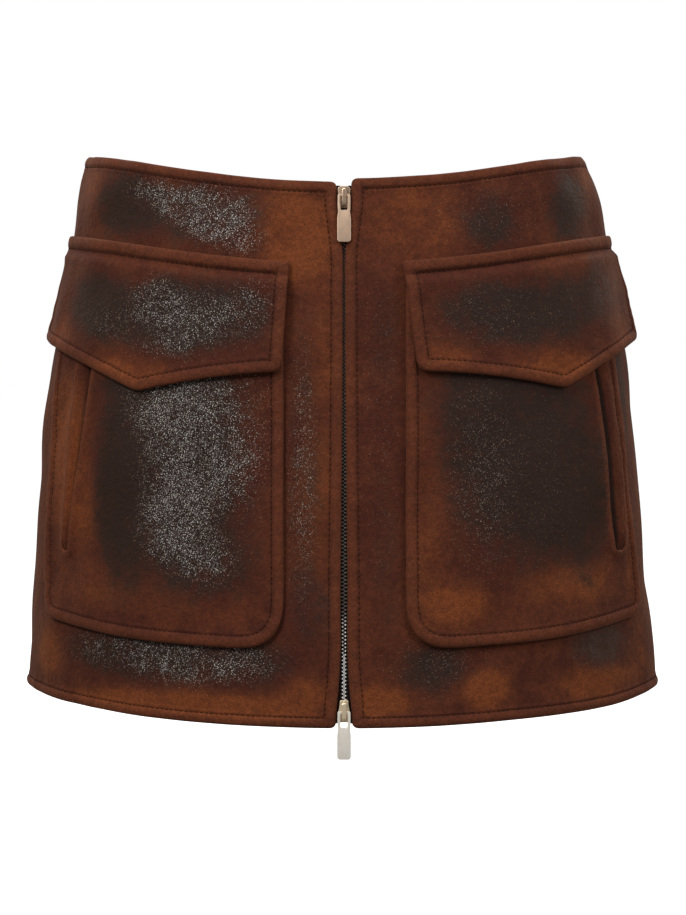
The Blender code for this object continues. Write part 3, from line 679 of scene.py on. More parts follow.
def paint_for(layer, side_name):
    def paint(arc, z, found):
        at = np.abs(arc)
        if side_name == "back":  # from centre back, the right side positive
            at = np.where(arc >= 0, back_arc(z, 1) - arc, -back_arc(z, -1) - arc)
        made = {key: painted(patches, at, z) for key, patches in PAINT[(layer, side_name)].items()}
        made["groove"] = near_line(found, 0.12)
        made["rim"] = 1 - ease((found.share - 0.55) / 0.5)
        made["lip"] = 1 - ease((found.lip - 0.0022) / 0.0020)
        return made

    return paint


# ---------------------------------------------------------------- paint: burnish and colour, placed patch by patch

# Middle arc and height, half sizes and strength of a soft patch
Patch = namedtuple("Patch", "arc z half_arc half_z strength")
# Besides burnish and orange tones, these tables place painted light: pale glints of shine, a greyish painted
# sheen at the right edges, and a painted rim of light at the left waist's side.
PAINT = {
    ("panel", "left"): {
        "burnish": [
            Patch(0.140, -0.030, 0.028, 0.022, 0.86),
            Patch(0.085, -0.036, 0.042, 0.020, 0.60),
            Patch(0.023, -0.180, 0.012, 0.090, 0.32),
            Patch(0.130, -0.300, 0.062, 0.017, 0.80),
            Patch(0.060, -0.302, 0.035, 0.015, 0.70),
            Patch(0.020, -0.270, 0.014, 0.026, 0.45),
            Patch(0.195, -0.140, 0.016, 0.070, 0.55),
        ],
        "glint": [
            Patch(0.122, -0.022, 0.018, 0.010, 0.60),
            Patch(0.102, -0.031, 0.018, 0.012, 0.78),
            Patch(0.082, -0.042, 0.018, 0.012, 0.80),
            Patch(0.084, -0.024, 0.016, 0.009, 0.60),
            Patch(0.065, -0.036, 0.014, 0.012, 0.66),
            Patch(0.062, -0.052, 0.018, 0.010, 0.60),
            Patch(0.024, -0.190, 0.009, 0.080, 0.48),
            Patch(0.145, -0.298, 0.040, 0.013, 0.55),
            Patch(0.100, -0.303, 0.040, 0.015, 0.66),
            Patch(0.058, -0.302, 0.024, 0.013, 0.55),
        ],
        "rust": [
            Patch(0.030, -0.050, 0.024, 0.030, 0.90),
            Patch(0.012, -0.120, 0.010, 0.050, 0.35),
            Patch(0.018, -0.205, 0.012, 0.060, 0.45),
            Patch(0.022, -0.320, 0.016, 0.012, 0.95),
            Patch(0.100, -0.329, 0.095, 0.009, 1.00),
            Patch(0.206, -0.306, 0.016, 0.018, 0.85),
            # a painted rim of light, where the waist turns away at the left side
            Patch(0.178, -0.016, 0.016, 0.016, 0.65),
            Patch(0.208, -0.220, 0.010, 0.070, 0.50),
        ],
    },
    ("panel", "right"): {
        "burnish": [
            Patch(0.089, -0.042, 0.020, 0.018, 0.75),
            Patch(0.150, -0.030, 0.020, 0.024, 0.84),
            Patch(0.024, -0.108, 0.010, 0.032, 0.38),
            Patch(0.024, -0.230, 0.010, 0.060, 0.30),
            Patch(0.054, -0.305, 0.023, 0.015, 0.72),
            Patch(0.170, -0.297, 0.024, 0.015, 0.74),
            Patch(0.198, -0.150, 0.014, 0.070, 0.60),
        ],
        "glint": [
            Patch(0.090, -0.036, 0.034, 0.018, 0.20),
            Patch(0.055, -0.303, 0.030, 0.016, 0.26),
            Patch(0.172, -0.297, 0.026, 0.014, 0.14),
            Patch(0.022, -0.150, 0.012, 0.090, 0.13),
        ],
        # painted sheen where light catches the right edges
        "haze": [
            Patch(0.172, -0.297, 0.026, 0.014, 1.00),
            Patch(0.170, -0.030, 0.016, 0.024, 0.55),
        ],
        "rust": [
            Patch(0.042, -0.043, 0.036, 0.025, 0.62),
            Patch(0.021, -0.325, 0.018, 0.010, 1.00),
            Patch(0.087, -0.319, 0.018, 0.012, 1.00),
            Patch(0.165, -0.319, 0.040, 0.011, 1.00),
            Patch(0.210, -0.300, 0.012, 0.020, 0.50),
            Patch(0.174, -0.012, 0.012, 0.012, 0.40),
        ],
    },
    ("pocket", "left"): {
        "burnish": [
            Patch(0.138, -0.200, 0.022, 0.066, 1.00),
            Patch(0.098, -0.192, 0.044, 0.070, 0.98),
            Patch(0.110, -0.140, 0.050, 0.024, 0.70),
            Patch(0.075, -0.245, 0.030, 0.022, 0.45),
        ],
        "glint": [
            Patch(0.100, -0.150, 0.036, 0.026, 0.86),
            Patch(0.090, -0.185, 0.034, 0.036, 0.90),
            Patch(0.104, -0.222, 0.024, 0.026, 0.84),
            Patch(0.082, -0.240, 0.020, 0.018, 0.66),
            Patch(0.060, -0.165, 0.018, 0.050, 0.42),
        ],
        "rust": [
            Patch(0.186, -0.188, 0.018, 0.056, 0.80),
            Patch(0.168, -0.215, 0.010, 0.040, 0.50),
            Patch(0.150, -0.262, 0.040, 0.014, 0.45),
            Patch(0.080, -0.274, 0.040, 0.010, 0.30),
        ],
    },
    ("pocket", "right"): {
        "burnish": [
            Patch(0.118, -0.188, 0.058, 0.062, 1.00),
            Patch(0.085, -0.150, 0.034, 0.040, 0.75),
            Patch(0.155, -0.222, 0.020, 0.040, 0.65),
        ],
        "glint": [
            Patch(0.082, -0.190, 0.022, 0.060, 0.36),
            Patch(0.120, -0.200, 0.030, 0.050, 0.14),
        ],
        "rust": [
            Patch(0.050, -0.215, 0.012, 0.060, 0.35),
            Patch(0.068, -0.266, 0.020, 0.014, 0.90),
            Patch(0.147, -0.258, 0.040, 0.014, 0.85),
            Patch(0.196, -0.230, 0.006, 0.040, 0.40),
        ],
    },
    ("flap", "left"): {
        "burnish": [
            Patch(0.158, -0.092, 0.028, 0.023, 1.00),
            Patch(0.098, -0.098, 0.048, 0.024, 1.00),
            Patch(0.062, -0.095, 0.022, 0.018, 0.66),
        ],
        "glint": [
            Patch(0.114, -0.090, 0.022, 0.016, 0.70),
            Patch(0.086, -0.100, 0.030, 0.018, 0.66),
            Patch(0.056, -0.096, 0.016, 0.018, 0.38),
            Patch(0.145, -0.104, 0.018, 0.012, 0.40),
            Patch(0.108, -0.117, 0.022, 0.009, 0.46),
            Patch(0.052, -0.083, 0.016, 0.010, 0.26),
        ],
        "rust": [
            Patch(0.130, -0.133, 0.036, 0.010, 0.75),
            Patch(0.190, -0.112, 0.014, 0.012, 0.60),
            Patch(0.050, -0.062, 0.020, 0.010, 0.35),
        ],
    },
    ("flap", "right"): {
        "burnish": [
            Patch(0.103, -0.095, 0.050, 0.021, 0.97),
            Patch(0.168, -0.084, 0.016, 0.020, 0.60),
            Patch(0.145, -0.092, 0.020, 0.020, 0.70),
        ],
        "glint": [
            Patch(0.088, -0.097, 0.030, 0.020, 0.26),
            Patch(0.132, -0.100, 0.022, 0.018, 0.12),
            Patch(0.168, -0.084, 0.014, 0.018, 0.08),
        ],
        # painted sheen where light catches the flap's right end
        "haze": [
            Patch(0.182, -0.086, 0.020, 0.020, 1.00),
        ],
        "rust": [
            Patch(0.132, -0.130, 0.030, 0.011, 0.90),
            Patch(0.060, -0.122, 0.018, 0.008, 0.35),
            Patch(0.192, -0.108, 0.012, 0.014, 0.45),
        ],
    },
    ("panel", "back"): {
        "burnish": [
            Patch(-0.225, -0.060, 0.050, 0.030, 0.75),
            Patch(0.200, -0.070, 0.060, 0.030, 0.72),
            Patch(-0.075, -0.050, 0.070, 0.026, 0.80),
            Patch(0.060, -0.046, 0.060, 0.024, 0.75),
            Patch(-0.155, -0.190, 0.058, 0.062, 0.88),
            Patch(0.135, -0.195, 0.068, 0.060, 0.88),
            Patch(-0.010, -0.230, 0.040, 0.050, 0.50),
            Patch(-0.262, -0.250, 0.030, 0.050, 0.60),
            Patch(0.258, -0.230, 0.030, 0.060, 0.65),
            Patch(-0.120, -0.302, 0.080, 0.016, 0.75),
            Patch(0.160, -0.298, 0.090, 0.016, 0.75),
        ],
        "glint": [
            Patch(-0.180, -0.150, 0.028, 0.030, 0.42),
            Patch(-0.148, -0.186, 0.034, 0.028, 0.50),
            Patch(-0.122, -0.222, 0.028, 0.024, 0.38),
            Patch(0.166, -0.158, 0.028, 0.028, 0.36),
            Patch(0.134, -0.192, 0.034, 0.030, 0.44),
            Patch(0.112, -0.232, 0.024, 0.020, 0.30),
            Patch(-0.096, -0.043, 0.030, 0.012, 0.38),
            Patch(-0.052, -0.056, 0.028, 0.011, 0.38),
            Patch(0.062, -0.041, 0.030, 0.013, 0.32),
            Patch(0.098, -0.055, 0.024, 0.011, 0.26),
            Patch(-0.165, -0.296, 0.038, 0.011, 0.34),
            Patch(-0.095, -0.304, 0.034, 0.010, 0.34),
        ],
        "rust": [
            Patch(-0.240, -0.120, 0.024, 0.050, 0.60),
            Patch(0.235, -0.140, 0.024, 0.050, 0.60),
            Patch(-0.150, -0.108, 0.060, 0.014, 0.55),
            Patch(0.030, -0.125, 0.050, 0.020, 0.60),
            Patch(-0.110, -0.325, 0.090, 0.008, 0.80),
            Patch(0.120, -0.324, 0.100, 0.009, 0.80),
            Patch(-0.235, -0.318, 0.030, 0.012, 0.70),
            Patch(0.200, -0.125, 0.040, 0.016, 0.50),
        ],
    },
}


def painted(patches, arc, z):
    left = np.ones(len(arc))
    for patch in patches:
        away = np.hypot((arc - patch.arc) / patch.half_arc, (z - patch.z) / patch.half_z)
        left *= 1 - patch.strength * (1 - ease((away - 0.35) / 1.1))
    return 1 - left


# ---------------------------------------------------------------- materials


def new_material(name):
    made = bpy.data.materials.new(name)
    made.use_nodes = True
    return made, made.node_tree.nodes["Principled BSDF"]


class Graph:
    """Short hand for wiring shader nodes."""

    def __init__(self, tree):
        self.tree = tree
        self.place = self.node("ShaderNodeTexCoord").outputs["Object"]

    def node(self, kind, **settings):
        made = self.tree.nodes.new(kind)
        for key, value in settings.items():
            setattr(made, key, value)
        return made

    def put(self, socket, value):
        if isinstance(value, bpy.types.NodeSocket):
            self.tree.links.new(value, socket)
        else:
            socket.default_value = value

    def attribute(self, name):
        return self.node("ShaderNodeAttribute", attribute_name=name).outputs["Fac"]

    def noise(self, scale, detail, roughness, stretch=None):
        made = self.node("ShaderNodeTexNoise")
        place = self.place
        if stretch:
            mapping = self.node("ShaderNodeMapping")
            self.put(mapping.inputs["Vector"], place)
            mapping.inputs["Scale"].default_value = stretch
            place = mapping.outputs["Vector"]
        self.put(made.inputs["Vector"], place)
        for key, value in (("Scale", scale), ("Detail", detail), ("Roughness", roughness)):
            made.inputs[key].default_value = value
        return made.outputs["Fac"]

    def cells(self, scale):
        """Distance from the middle of the nearest grain, and two random numbers of that grain."""
        made = self.node("ShaderNodeTexVoronoi", feature="F1")
        self.put(made.inputs["Vector"], self.place)
        made.inputs["Scale"].default_value = scale
        split = self.node("ShaderNodeSeparateColor")
        self.put(split.inputs["Color"], made.outputs["Color"])
        return made.outputs["Distance"], split.outputs["Red"], split.outputs["Green"]

    def math(self, operation, first, second=0.0, third=0.0):
        made = self.node("ShaderNodeMath", operation=operation)
        for socket, value in zip(made.inputs, (first, second, third)):
            self.put(socket, value)
        return made.outputs["Value"]

    def ramp(self, value, low, high, to_low=0.0, to_high=1.0):
        made = self.node("ShaderNodeMapRange", interpolation_type="SMOOTHSTEP")
        self.put(made.inputs["Value"], value)
        for key, number in (("From Min", low), ("From Max", high), ("To Min", to_low), ("To Max", to_high)):
            made.inputs[key].default_value = number
        return made.outputs["Result"]

    def mix(self, share, first, second):
        made = self.node("ShaderNodeMix", data_type="RGBA")
        self.put(made.inputs["Factor"], share)
        for socket, value in ((made.inputs["A"], first), (made.inputs["B"], second)):
            self.put(socket, (*value, 1.0) if isinstance(value, tuple) else value)
        return next(socket for socket in made.outputs if socket.type == "RGBA")

    def bump(self, height, distance, strength):
        made = self.node("ShaderNodeBump")
        self.put(made.inputs["Height"], height)
        made.inputs["Distance"].default_value = distance
        made.inputs["Strength"].default_value = strength
        return made.outputs["Normal"]


# dark colour painted on the zip teeth: painted shade on the upper teeth, and darker bars on every tooth
DARK_TEETH_COLOUR = (0.045, 0.026, 0.016)
RUST_BROWN = (0.128, 0.0300, 0.0110)
ORANGE_BROWN = (0.225, 0.0560, 0.0145)
RED_BROWN = (0.088, 0.0190, 0.0090)
BURNT = (0.0235, 0.0095, 0.0054)
SEAM_DARK = (0.018, 0.0050, 0.0028)
DEEP_SHADE = (0.006, 0.0022, 0.0014)
FLESH_SIDE = (0.115, 0.036, 0.014)
WORN_EDGE = (0.165, 0.0430, 0.0170)
PAINTED_SHEEN_BROWN = (0.110, 0.0600, 0.0440)
GLINT_BROWN = (0.72, 0.47, 0.33)
GLINT_GREY = (0.93, 0.86, 0.78)
NAP_SHADE = (0.004, 0.002, 0.001)
MOTTLE_SHADE = (0.010, 0.004, 0.002)
PIT_SHADE = (0.0040, 0.0020, 0.0014)
# Painted highlight: the glint grains are painted into the suede's colour.
GRAINS = 1850.0  # grains of the shine in a metre


def suede_material():
    """Napped rusty brown suede, with dark burnish that fades out softly and pale grains painted into its
    colour as glints where it shines.
    """
    made, shader = new_material("burnished_suede")
    graph = Graph(made.node_tree)
    cloud = graph.noise(26.0, 2.0, 0.55)
    blotch = graph.noise(110.0, 3.0, 0.6)
    nap = graph.noise(1500.0, 1.0, 0.6)
    mottle = graph.noise(340.0, 2.0, 0.65)
    outside = graph.math("SUBTRACT", 1.0, graph.attribute("inside"))
    rust = graph.math("ADD", graph.attribute("rust"), graph.ramp(cloud, 0.35, 0.70, -0.20, 0.32))
    rust = graph.math("ADD", rust, graph.ramp(blotch, 0.3, 0.7, -0.20, 0.20))
    warm = graph.mix(graph.ramp(rust, -0.18, 0.28), RED_BROWN, RUST_BROWN)
    warm = graph.mix(graph.ramp(rust, 0.25, 1.00), warm, ORANGE_BROWN)
    burnish = graph.math("ADD", graph.attribute("burnish"), graph.ramp(cloud, 0.3, 0.7, -0.12, 0.14))
    burnish = graph.math("ADD", burnish, graph.ramp(blotch, 0.3, 0.7, -0.19, 0.19))
    stain = graph.math("MULTIPLY", graph.ramp(burnish, 0.05, 0.95, 0.0, 0.94), outside)
    colour = graph.mix(stain, warm, BURNT)
    worn = graph.math("MAXIMUM", graph.attribute("rim"), graph.attribute("lip"))
    worn = graph.math("MULTIPLY", worn, 0.55)
    colour = graph.mix(worn, colour, WORN_EDGE)
    # Painted sheen: a greyish brown lightening painted where light catches the right edges.
    haze = graph.math("MULTIPLY", graph.attribute("haze"), graph.ramp(blotch, 0.3, 0.7, 0.25, 0.60))
    colour = graph.mix(haze, colour, PAINTED_SHEEN_BROWN)
    colour = graph.mix(graph.math("MULTIPLY", graph.attribute("groove"), 0.12), colour, SEAM_DARK)
    # painted shade inside the pockets' side openings
    colour = graph.mix(graph.math("MULTIPLY", graph.attribute("deep"), 0.88), colour, DEEP_SHADE)
    colour = graph.mix(graph.ramp(nap, 0.36, 0.68, 0.0, 0.40), colour, NAP_SHADE)
    colour = graph.mix(graph.ramp(mottle, 0.36, 0.66, 0.0, 0.26), colour, MOTTLE_SHADE)
    # Painted highlight: pale grains painted into the colour as glints of shine, with dark crackle pits
    # painted between them only where the glints are.
    glint = graph.attribute("glint")
    pits = graph.math("MULTIPLY", graph.ramp(graph.noise(1100.0, 2.0, 0.7), 0.40, 0.58), glint)
    colour = graph.mix(graph.math("MULTIPLY", pits, 0.70), colour, PIT_SHADE)
    away, pick, shine = graph.cells(GRAINS)
    density = graph.math("MULTIPLY", glint, graph.ramp(blotch, 0.32, 0.62, 0.62, 1.0))
    density = graph.math("MULTIPLY", density, graph.ramp(mottle, 0.38, 0.56, 0.80, 1.08))
    chosen = graph.math("GREATER_THAN", density, pick)
    grain = graph.ramp(away, 0.60, 0.22)
    bright = graph.math("POWER", shine, 2.6)
    bright = graph.math("MULTIPLY_ADD", bright, 1.0, 0.05)
    bright = graph.math("MULTIPLY", bright, graph.ramp(density, 0.05, 0.75, 0.32, 1.0))
    glint_speck = graph.math("MULTIPLY", chosen, grain)
    glint_speck = graph.math("MULTIPLY", glint_speck, graph.math("MULTIPLY", bright, outside))
    pale = graph.mix(graph.ramp(density, 0.15, 0.70), GLINT_BROWN, GLINT_GREY)
    colour = graph.mix(glint_speck, colour, pale)
    colour = graph.mix(graph.attribute("inside"), colour, FLESH_SIDE)
    graph.put(shader.inputs["Base Color"], colour)
    film = graph.math("MULTIPLY", stain, graph.ramp(away, 0.2, 0.8, 1.0, 0.7))
    graph.put(shader.inputs["Roughness"], graph.math("MULTIPLY_ADD", film, -0.36, 0.90))
    shader.inputs["Specular IOR Level"].default_value = 0.20
    shader.inputs["Sheen Weight"].default_value = 0.12
    shader.inputs["Sheen Roughness"].default_value = 0.5
    shader.inputs["Sheen Tint"].default_value = (0.75, 0.40, 0.22, 1.0)
    height = graph.math("MULTIPLY_ADD", away, graph.math("MULTIPLY", stain, -0.8), nap)
    height = graph.math("MULTIPLY_ADD", mottle, 2.6, height)
    graph.put(shader.inputs["Normal"], graph.bump(height, 0.00026, 0.9))
    return made


def thread_material():
    made, shader = new_material("dark_brown_thread")
    graph = Graph(made.node_tree)
    twist = graph.noise(3200.0, 1.0, 0.5)
    colour = graph.mix(graph.ramp(twist, 0.3, 0.7), (0.016, 0.0050, 0.0025), (0.040, 0.0120, 0.0055))
    graph.put(shader.inputs["Base Color"], colour)
    graph.put(shader.inputs["Roughness"], graph.ramp(twist, 0.3, 0.7, 0.80, 0.95))
    shader.inputs["Specular IOR Level"].default_value = 0.15
    graph.put(shader.inputs["Normal"], graph.bump(twist, 0.00008, 0.6))
    return made


def tape_material():
    made, shader = new_material("dark_brown_zip_tape")
    graph = Graph(made.node_tree)
    ribs = graph.node("ShaderNodeTexWave", wave_type="BANDS", bands_direction="DIAGONAL")
    graph.put(ribs.inputs["Vector"], graph.place)
    ribs.inputs["Scale"].default_value = 420.0
    fuzz = graph.noise(1800.0, 2.0, 0.6)
    weave = graph.math("ADD", ribs.outputs["Fac"], graph.math("MULTIPLY", fuzz, 0.5))
    colour = graph.mix(graph.ramp(weave, 0.3, 1.2), (0.008, 0.0040, 0.0028), (0.026, 0.0120, 0.0080))
    graph.put(shader.inputs["Base Color"], colour)
    graph.put(shader.inputs["Roughness"], graph.ramp(fuzz, 0.3, 0.7, 0.85, 0.97))
    shader.inputs["Specular IOR Level"].default_value = 0.15
    graph.put(shader.inputs["Normal"], graph.bump(weave, 0.00015, 0.8))
    return made


def metal_material(name, colour, worn, roughness, metallic):
    made, shader = new_material(name)
    graph = Graph(made.node_tree)
    smear = graph.noise(260.0, 2.0, 0.5)
    scratch = graph.noise(700.0, 1.0, 0.5, stretch=(6.0, 1.0, 0.4))
    share = graph.ramp(graph.math("MULTIPLY", smear, scratch), 0.16, 0.36)
    clean = graph.mix(share, colour, worn)
    # Dark paint where the zip teeth carry it: painted shade on the upper teeth and darker bars.
    graph.put(shader.inputs["Base Color"], graph.mix(graph.attribute("dull"), clean, DARK_TEETH_COLOUR))
    finish = graph.math("ADD", smear, graph.math("MULTIPLY", scratch, 0.5))
    graph.put(shader.inputs["Roughness"], graph.ramp(finish, 0.5, 1.0, roughness * 0.8, roughness * 1.3))
    shader.inputs["Metallic"].default_value = metallic
    return made


SUEDE = suede_material()
THREAD = thread_material()
TAPE_CLOTH = tape_material()
# The zip's pulls and sliders are one metal, painted as copies that are lit differently: the top slider darker
# as painted shade, and the bottom pull and slider paler as painted light.
TOP_PULL_METAL = metal_material("rose_gold_metal", (0.70, 0.50, 0.36), (0.60, 0.41, 0.28), 0.40, 0.60)
BOTTOM_PULL_LIT_METAL = metal_material("pale_gold_metal_painted_light", (1.0, 0.94, 0.84), (0.95, 0.86, 0.74), 0.36, 0.25)
TOP_SLIDER_SHADED_METAL = metal_material("gold_metal_painted_shade", (0.56, 0.40, 0.28), (0.44, 0.30, 0.20), 0.30, 0.72)
BOTTOM_SLIDER_LIT_METAL = metal_material("yellow_gold_metal_painted_light", (0.86, 0.70, 0.48), (0.70, 0.55, 0.36), 0.30, 0.50)
TEETH_METAL = metal_material("silver_teeth", (1.0, 0.98, 0.94), (0.95, 0.92, 0.86), 0.30, 0.15)

# ---------------------------------------------------------------- panels


def zip_edge(z):
    return column(ZIP_OPENING, "half", z)


def on_line(place, across, line, first):
    """Pattern points at distances across, at the heights of a line that is given by its z at each angle."""
    z = np.full(len(across), first)
    for _ in range(8):
        arc, _z = place(np.stack([across, z], -1))
        z = line(angle_at(arc, z))
    return np.stack([across, z], -1)


def side_place(sign):
    return lambda points: (sign * points[:, 0], points[:, 1])


def back_place(points):
    """The back's pattern is measured from centre back, with the right side positive."""
    sign = np.where(points[:, 0] >= 0, 1, -1)
    z = points[:, 1]
    reach = np.where(sign > 0, back_arc(z, 1), back_arc(z, -1))
    return sign * (reach - np.abs(points[:, 0])), z


def front_cut(side):
    place = side_place(side.sign)
    down = np.linspace(0.0, HEM_SIDE_Z, 200)
    seam = np.stack([side_arc(down, side.sign) - SEAM_GAP / 2, down], -1)
    top = on_line(place, np.linspace(zip_edge(-0.015), seam[0, 0], 200), waist_z, 0.0)
    bottom = on_line(place, np.linspace(seam[-1, 0], zip_edge(-0.340), 200), hem_line, HEM_SIDE_Z)
    up = np.linspace(bottom[-1, 1], top[0, 1], 200)
    zip_side = np.stack([zip_edge(up), up], -1)
    edges = [("waist", top), ("seam", seam), ("hem", bottom), ("zip", zip_side)]
    loop, kinds = outline_of(edges, [0.0042, 0.0, 0.0, 0.0042])
    return Cut(f"suede_front_{side.name}", place, loop, kinds, None, 0.0030)


def back_cut():
    def seam(sign, down):
        reach = back_arc(down, sign) - side_arc(down, sign) - SEAM_GAP / 2
        return np.stack([sign * reach, down], -1)

    down = np.linspace(0.0, HEM_SIDE_Z, 200)
    right = seam(1, down)
    left = seam(-1, down[::-1])
    top = on_line(back_place, np.linspace(left[-1, 0], right[0, 0], 400), waist_z, 0.0)
    bottom = on_line(back_place, np.linspace(right[-1, 0], left[0, 0], 400), hem_z, HEM_SIDE_Z)
    edges = [("waist", top), ("seam", right), ("hem", bottom), ("seam", left)]
    loop, kinds = outline_of(edges, [0.0, 0.0, 0.0, 0.0])
    return Cut("suede_back", back_place, loop, kinds, None, 0.0040)


# ---------------------------------------------------------------- pockets and flaps

SLIT_TOP_Z = -0.1080
SLIT_FOOT_Z = -0.2415
LIP_BAND = 0.0042  # width of the turned rim along the side opening
LIP_BAND_STANDS = 0.0007
LIP_NOSE = 0.0015


def pocket_top_z(angle):
    return flap_top_z(angle) - POCKET_BELOW_FLAP_TOP


def pocket_bottom_z(angle):
    rise = POCKET_OUTER_RISE * ease((np.abs(angle) - POCKET_RISE_START) / POCKET_RISE_START)
    return hem_z(angle) + POCKET_ABOVE_HEM + rise


def pocket_cut(side):
    place = side_place(side.sign)
    outer_top = float(column(side.pocket, "outer_edge", -0.066))
    top = on_line(place, np.linspace(side.pocket_inner, outer_top, 120), pocket_top_z, -0.07)
    foot = float(column(side.pocket, "outer_edge", -0.285))
    bottom = on_line(place, np.linspace(foot, side.pocket_inner, 160), pocket_bottom_z, -0.29)
    down = np.linspace(top[-1, 1], bottom[0, 1], 160)
    outer_side = np.stack([column(side.pocket, "outer_edge", down), down], -1)
    top[-1, 0], bottom[0, 0] = outer_side[0, 0], outer_side[-1, 0]
    up = np.linspace(bottom[-1, 1], top[0, 1], 80)
    inner_side = np.stack([np.full(80, side.pocket_inner), up], -1)
    edges = [("patch", top), ("patch", outer_side), ("patch", bottom), ("patch", inner_side)]
    loop, kinds = outline_of(edges, [0.003, 0.003, 0.0140, 0.0287])
    heights = np.linspace(SLIT_TOP_Z, SLIT_FOOT_Z, 80)
    inner_lip = np.stack([column(side.pocket, "inner_lip", heights), heights], -1)
    outer_lip = np.stack([column(side.pocket, "outer_lip", heights), heights], -1)[::-1]
    foot_end = np.linspace(inner_lip[-1], outer_lip[0], 20)
    top_end = np.linspace(outer_lip[-1], inner_lip[0], 20)
    rim = [("lip", inner_lip), ("lip", foot_end), ("lip", outer_lip), ("lip", top_end)]
    hole, _ = outline_of(rim, [0.0024, 0.0024, 0.0024, 0.0024])
    return Cut(f"suede_pocket_{side.name}", place, loop, kinds, hole, 0.0028)


def pocket_lifts(side, seed):
    def lifts(points, found):
        arc, z = points[:, 0], points[:, 1]
        raised = LIP_RISE * (1 - ease(found.lip / LIP_WIDTH)) * lips_shown(z)
        low = pocket_floor(side, arc, z) + raised
        middle_arc = (column(side.pocket, "inner_lip", z) + column(side.pocket, "outer_lip", z)) / 2
        rim_band = LIP_BAND_STANDS * (1 - ease((found.lip - LIP_BAND * 0.7) / (LIP_BAND * 0.5)))
        rim_band = rim_band * (1 - ease((arc - middle_arc) / 0.003 + 0.5))
        ripple = PUCKER * noise_line(z + 1.0, seed + 5, 0.0060) * bell(found.lip - LIP_BAND, 0.004)
        high, under = patch_thickness(found, rim_band + ripple, seed)
        middle = (PATCH_WALL + LIP_BAND_STANDS) / 2
        round_lip = nose(found.lip, LIP_NOSE)
        high = middle + (high - middle) * round_lip
        under = np.maximum(under, middle * (1 - round_lip))
        return low + high, low + under

    return lifts


def pocket_floor(side, arc, z):
    """Height of the pocket's inner face before its lips rise, at an arc and a height."""
    angle = angle_at(side.sign * arc, z)
    top = pocket_top_z(angle)
    down = np.clip((top - z) / (top - pocket_bottom_z(angle)), 0, 1)
    end = column(side.pocket, "outer_edge", z)
    across = np.clip((arc - side.pocket_inner) / (end - side.pocket_inner), 0, 1)
    return LAY_GAP + POCKET_BULGE * np.sin(math.pi * across) * np.sin(math.pi * down)


def lips_shown(z):
    shown = ease((LIP_FADE_TOP_Z - z) / (LIP_FADE_TOP_Z - LIP_FULL_Z))
    return shown * (1 - ease((LIP_FOOT_Z - z) / LIP_FOOT_FADE))


FACING_UNDER = 0.0050  # how far the facing runs under the inner lip
FACING_SHORT = 0.0001  # how far it stays short of the outer lip
FACING_COLUMNS = 24
FACING_TOP_Z = -0.100
FACING_FOOT_Z = -0.2435
FACING_THICKNESS = 0.0005
FACING_CLIMB = 0.0044
FACING_SINK = 0.0022
FACING_LOW = 0.0007  # it never sinks into the panel below
FACING_NOTCH = 0.0080  # it stays low for this long above the opening's foot


def pocket_facing(side):
    """The strip that shows inside the side opening: it starts under the inner lip and meets the outer one."""
    z = np.linspace(FACING_TOP_Z, FACING_FOOT_Z, 60)[:, None]
    inner = column(side.pocket, "inner_lip", z)
    outer = column(side.pocket, "outer_lip", z)
    first, last = inner - FACING_UNDER, outer - FACING_SHORT
    arc = first + (last - first) * np.linspace(0, 1, FACING_COLUMNS)
    z = np.broadcast_to(z, arc.shape)
    climb = np.clip((arc - inner) / (outer - inner), 0, 1)
    under_lip = np.clip((inner - arc) / LIP_WIDTH, 0, 1)
    low = pocket_floor(side, arc, z) + LIP_RISE * lips_shown(z) * ease(1 - under_lip)
    notch = ease((SLIT_FOOT_Z + FACING_NOTCH - z) / FACING_NOTCH)
    face = np.maximum(low - FACING_SINK + FACING_CLIMB * ease(climb * 1.1) * (1 - 0.4 * notch), FACING_LOW)
    # Painted shade inside the opening: dark on the part next to the inner lip, which the lip shades, and at
    # the opening's foot.
    in_shade = side.shade * (1 - ease((climb - side.shade_from) / 0.17))
    in_shade = np.maximum(in_shade, 0.55 * notch * (1 - 0.5 * climb))

    def both_faces(front, behind):
        return np.concatenate([front, behind[:, ::-1]], 1)

    arcs, heights = both_faces(arc, arc), both_faces(z, z)
    patches = PAINT[("pocket", side.name)]
    colours = {key: painted(patches[key], arcs.ravel(), heights.ravel()) for key in patches}
    colours["burnish"] = colours["burnish"] * 0.6
    colours["deep"] = both_faces(in_shade, in_shade).ravel()
    lift = both_faces(face, face - FACING_THICKNESS)
    return swept(f"pocket_facing_{side.name}", side, side.sign * arcs, heights, lift, SUEDE, colours)


def flap_ends(side, z):
    down_share = (FLAP_TOP_SIDE_Z - FLAP_TOP_DROP - z) / FLAP_END_LENGTH
    start = side.flap_inner_top + (side.flap_inner_bottom - side.flap_inner_top) * down_share
    return start, side_arc(z, side.sign) - FLAP_SIDE_MARGIN


def flap_length(side, arc, top):
    start, end = flap_ends(side, top - FLAP_END_LENGTH)
    reach = np.where(arc < side.flap_point, side.flap_point - start, end - side.flap_point)
    share = np.clip(np.abs(arc - side.flap_point) / reach, 0, 1)
    return FLAP_END_LENGTH + (FLAP_POINT_LENGTH - FLAP_END_LENGTH) * (1 - share) ** FLAP_EDGE_POWER


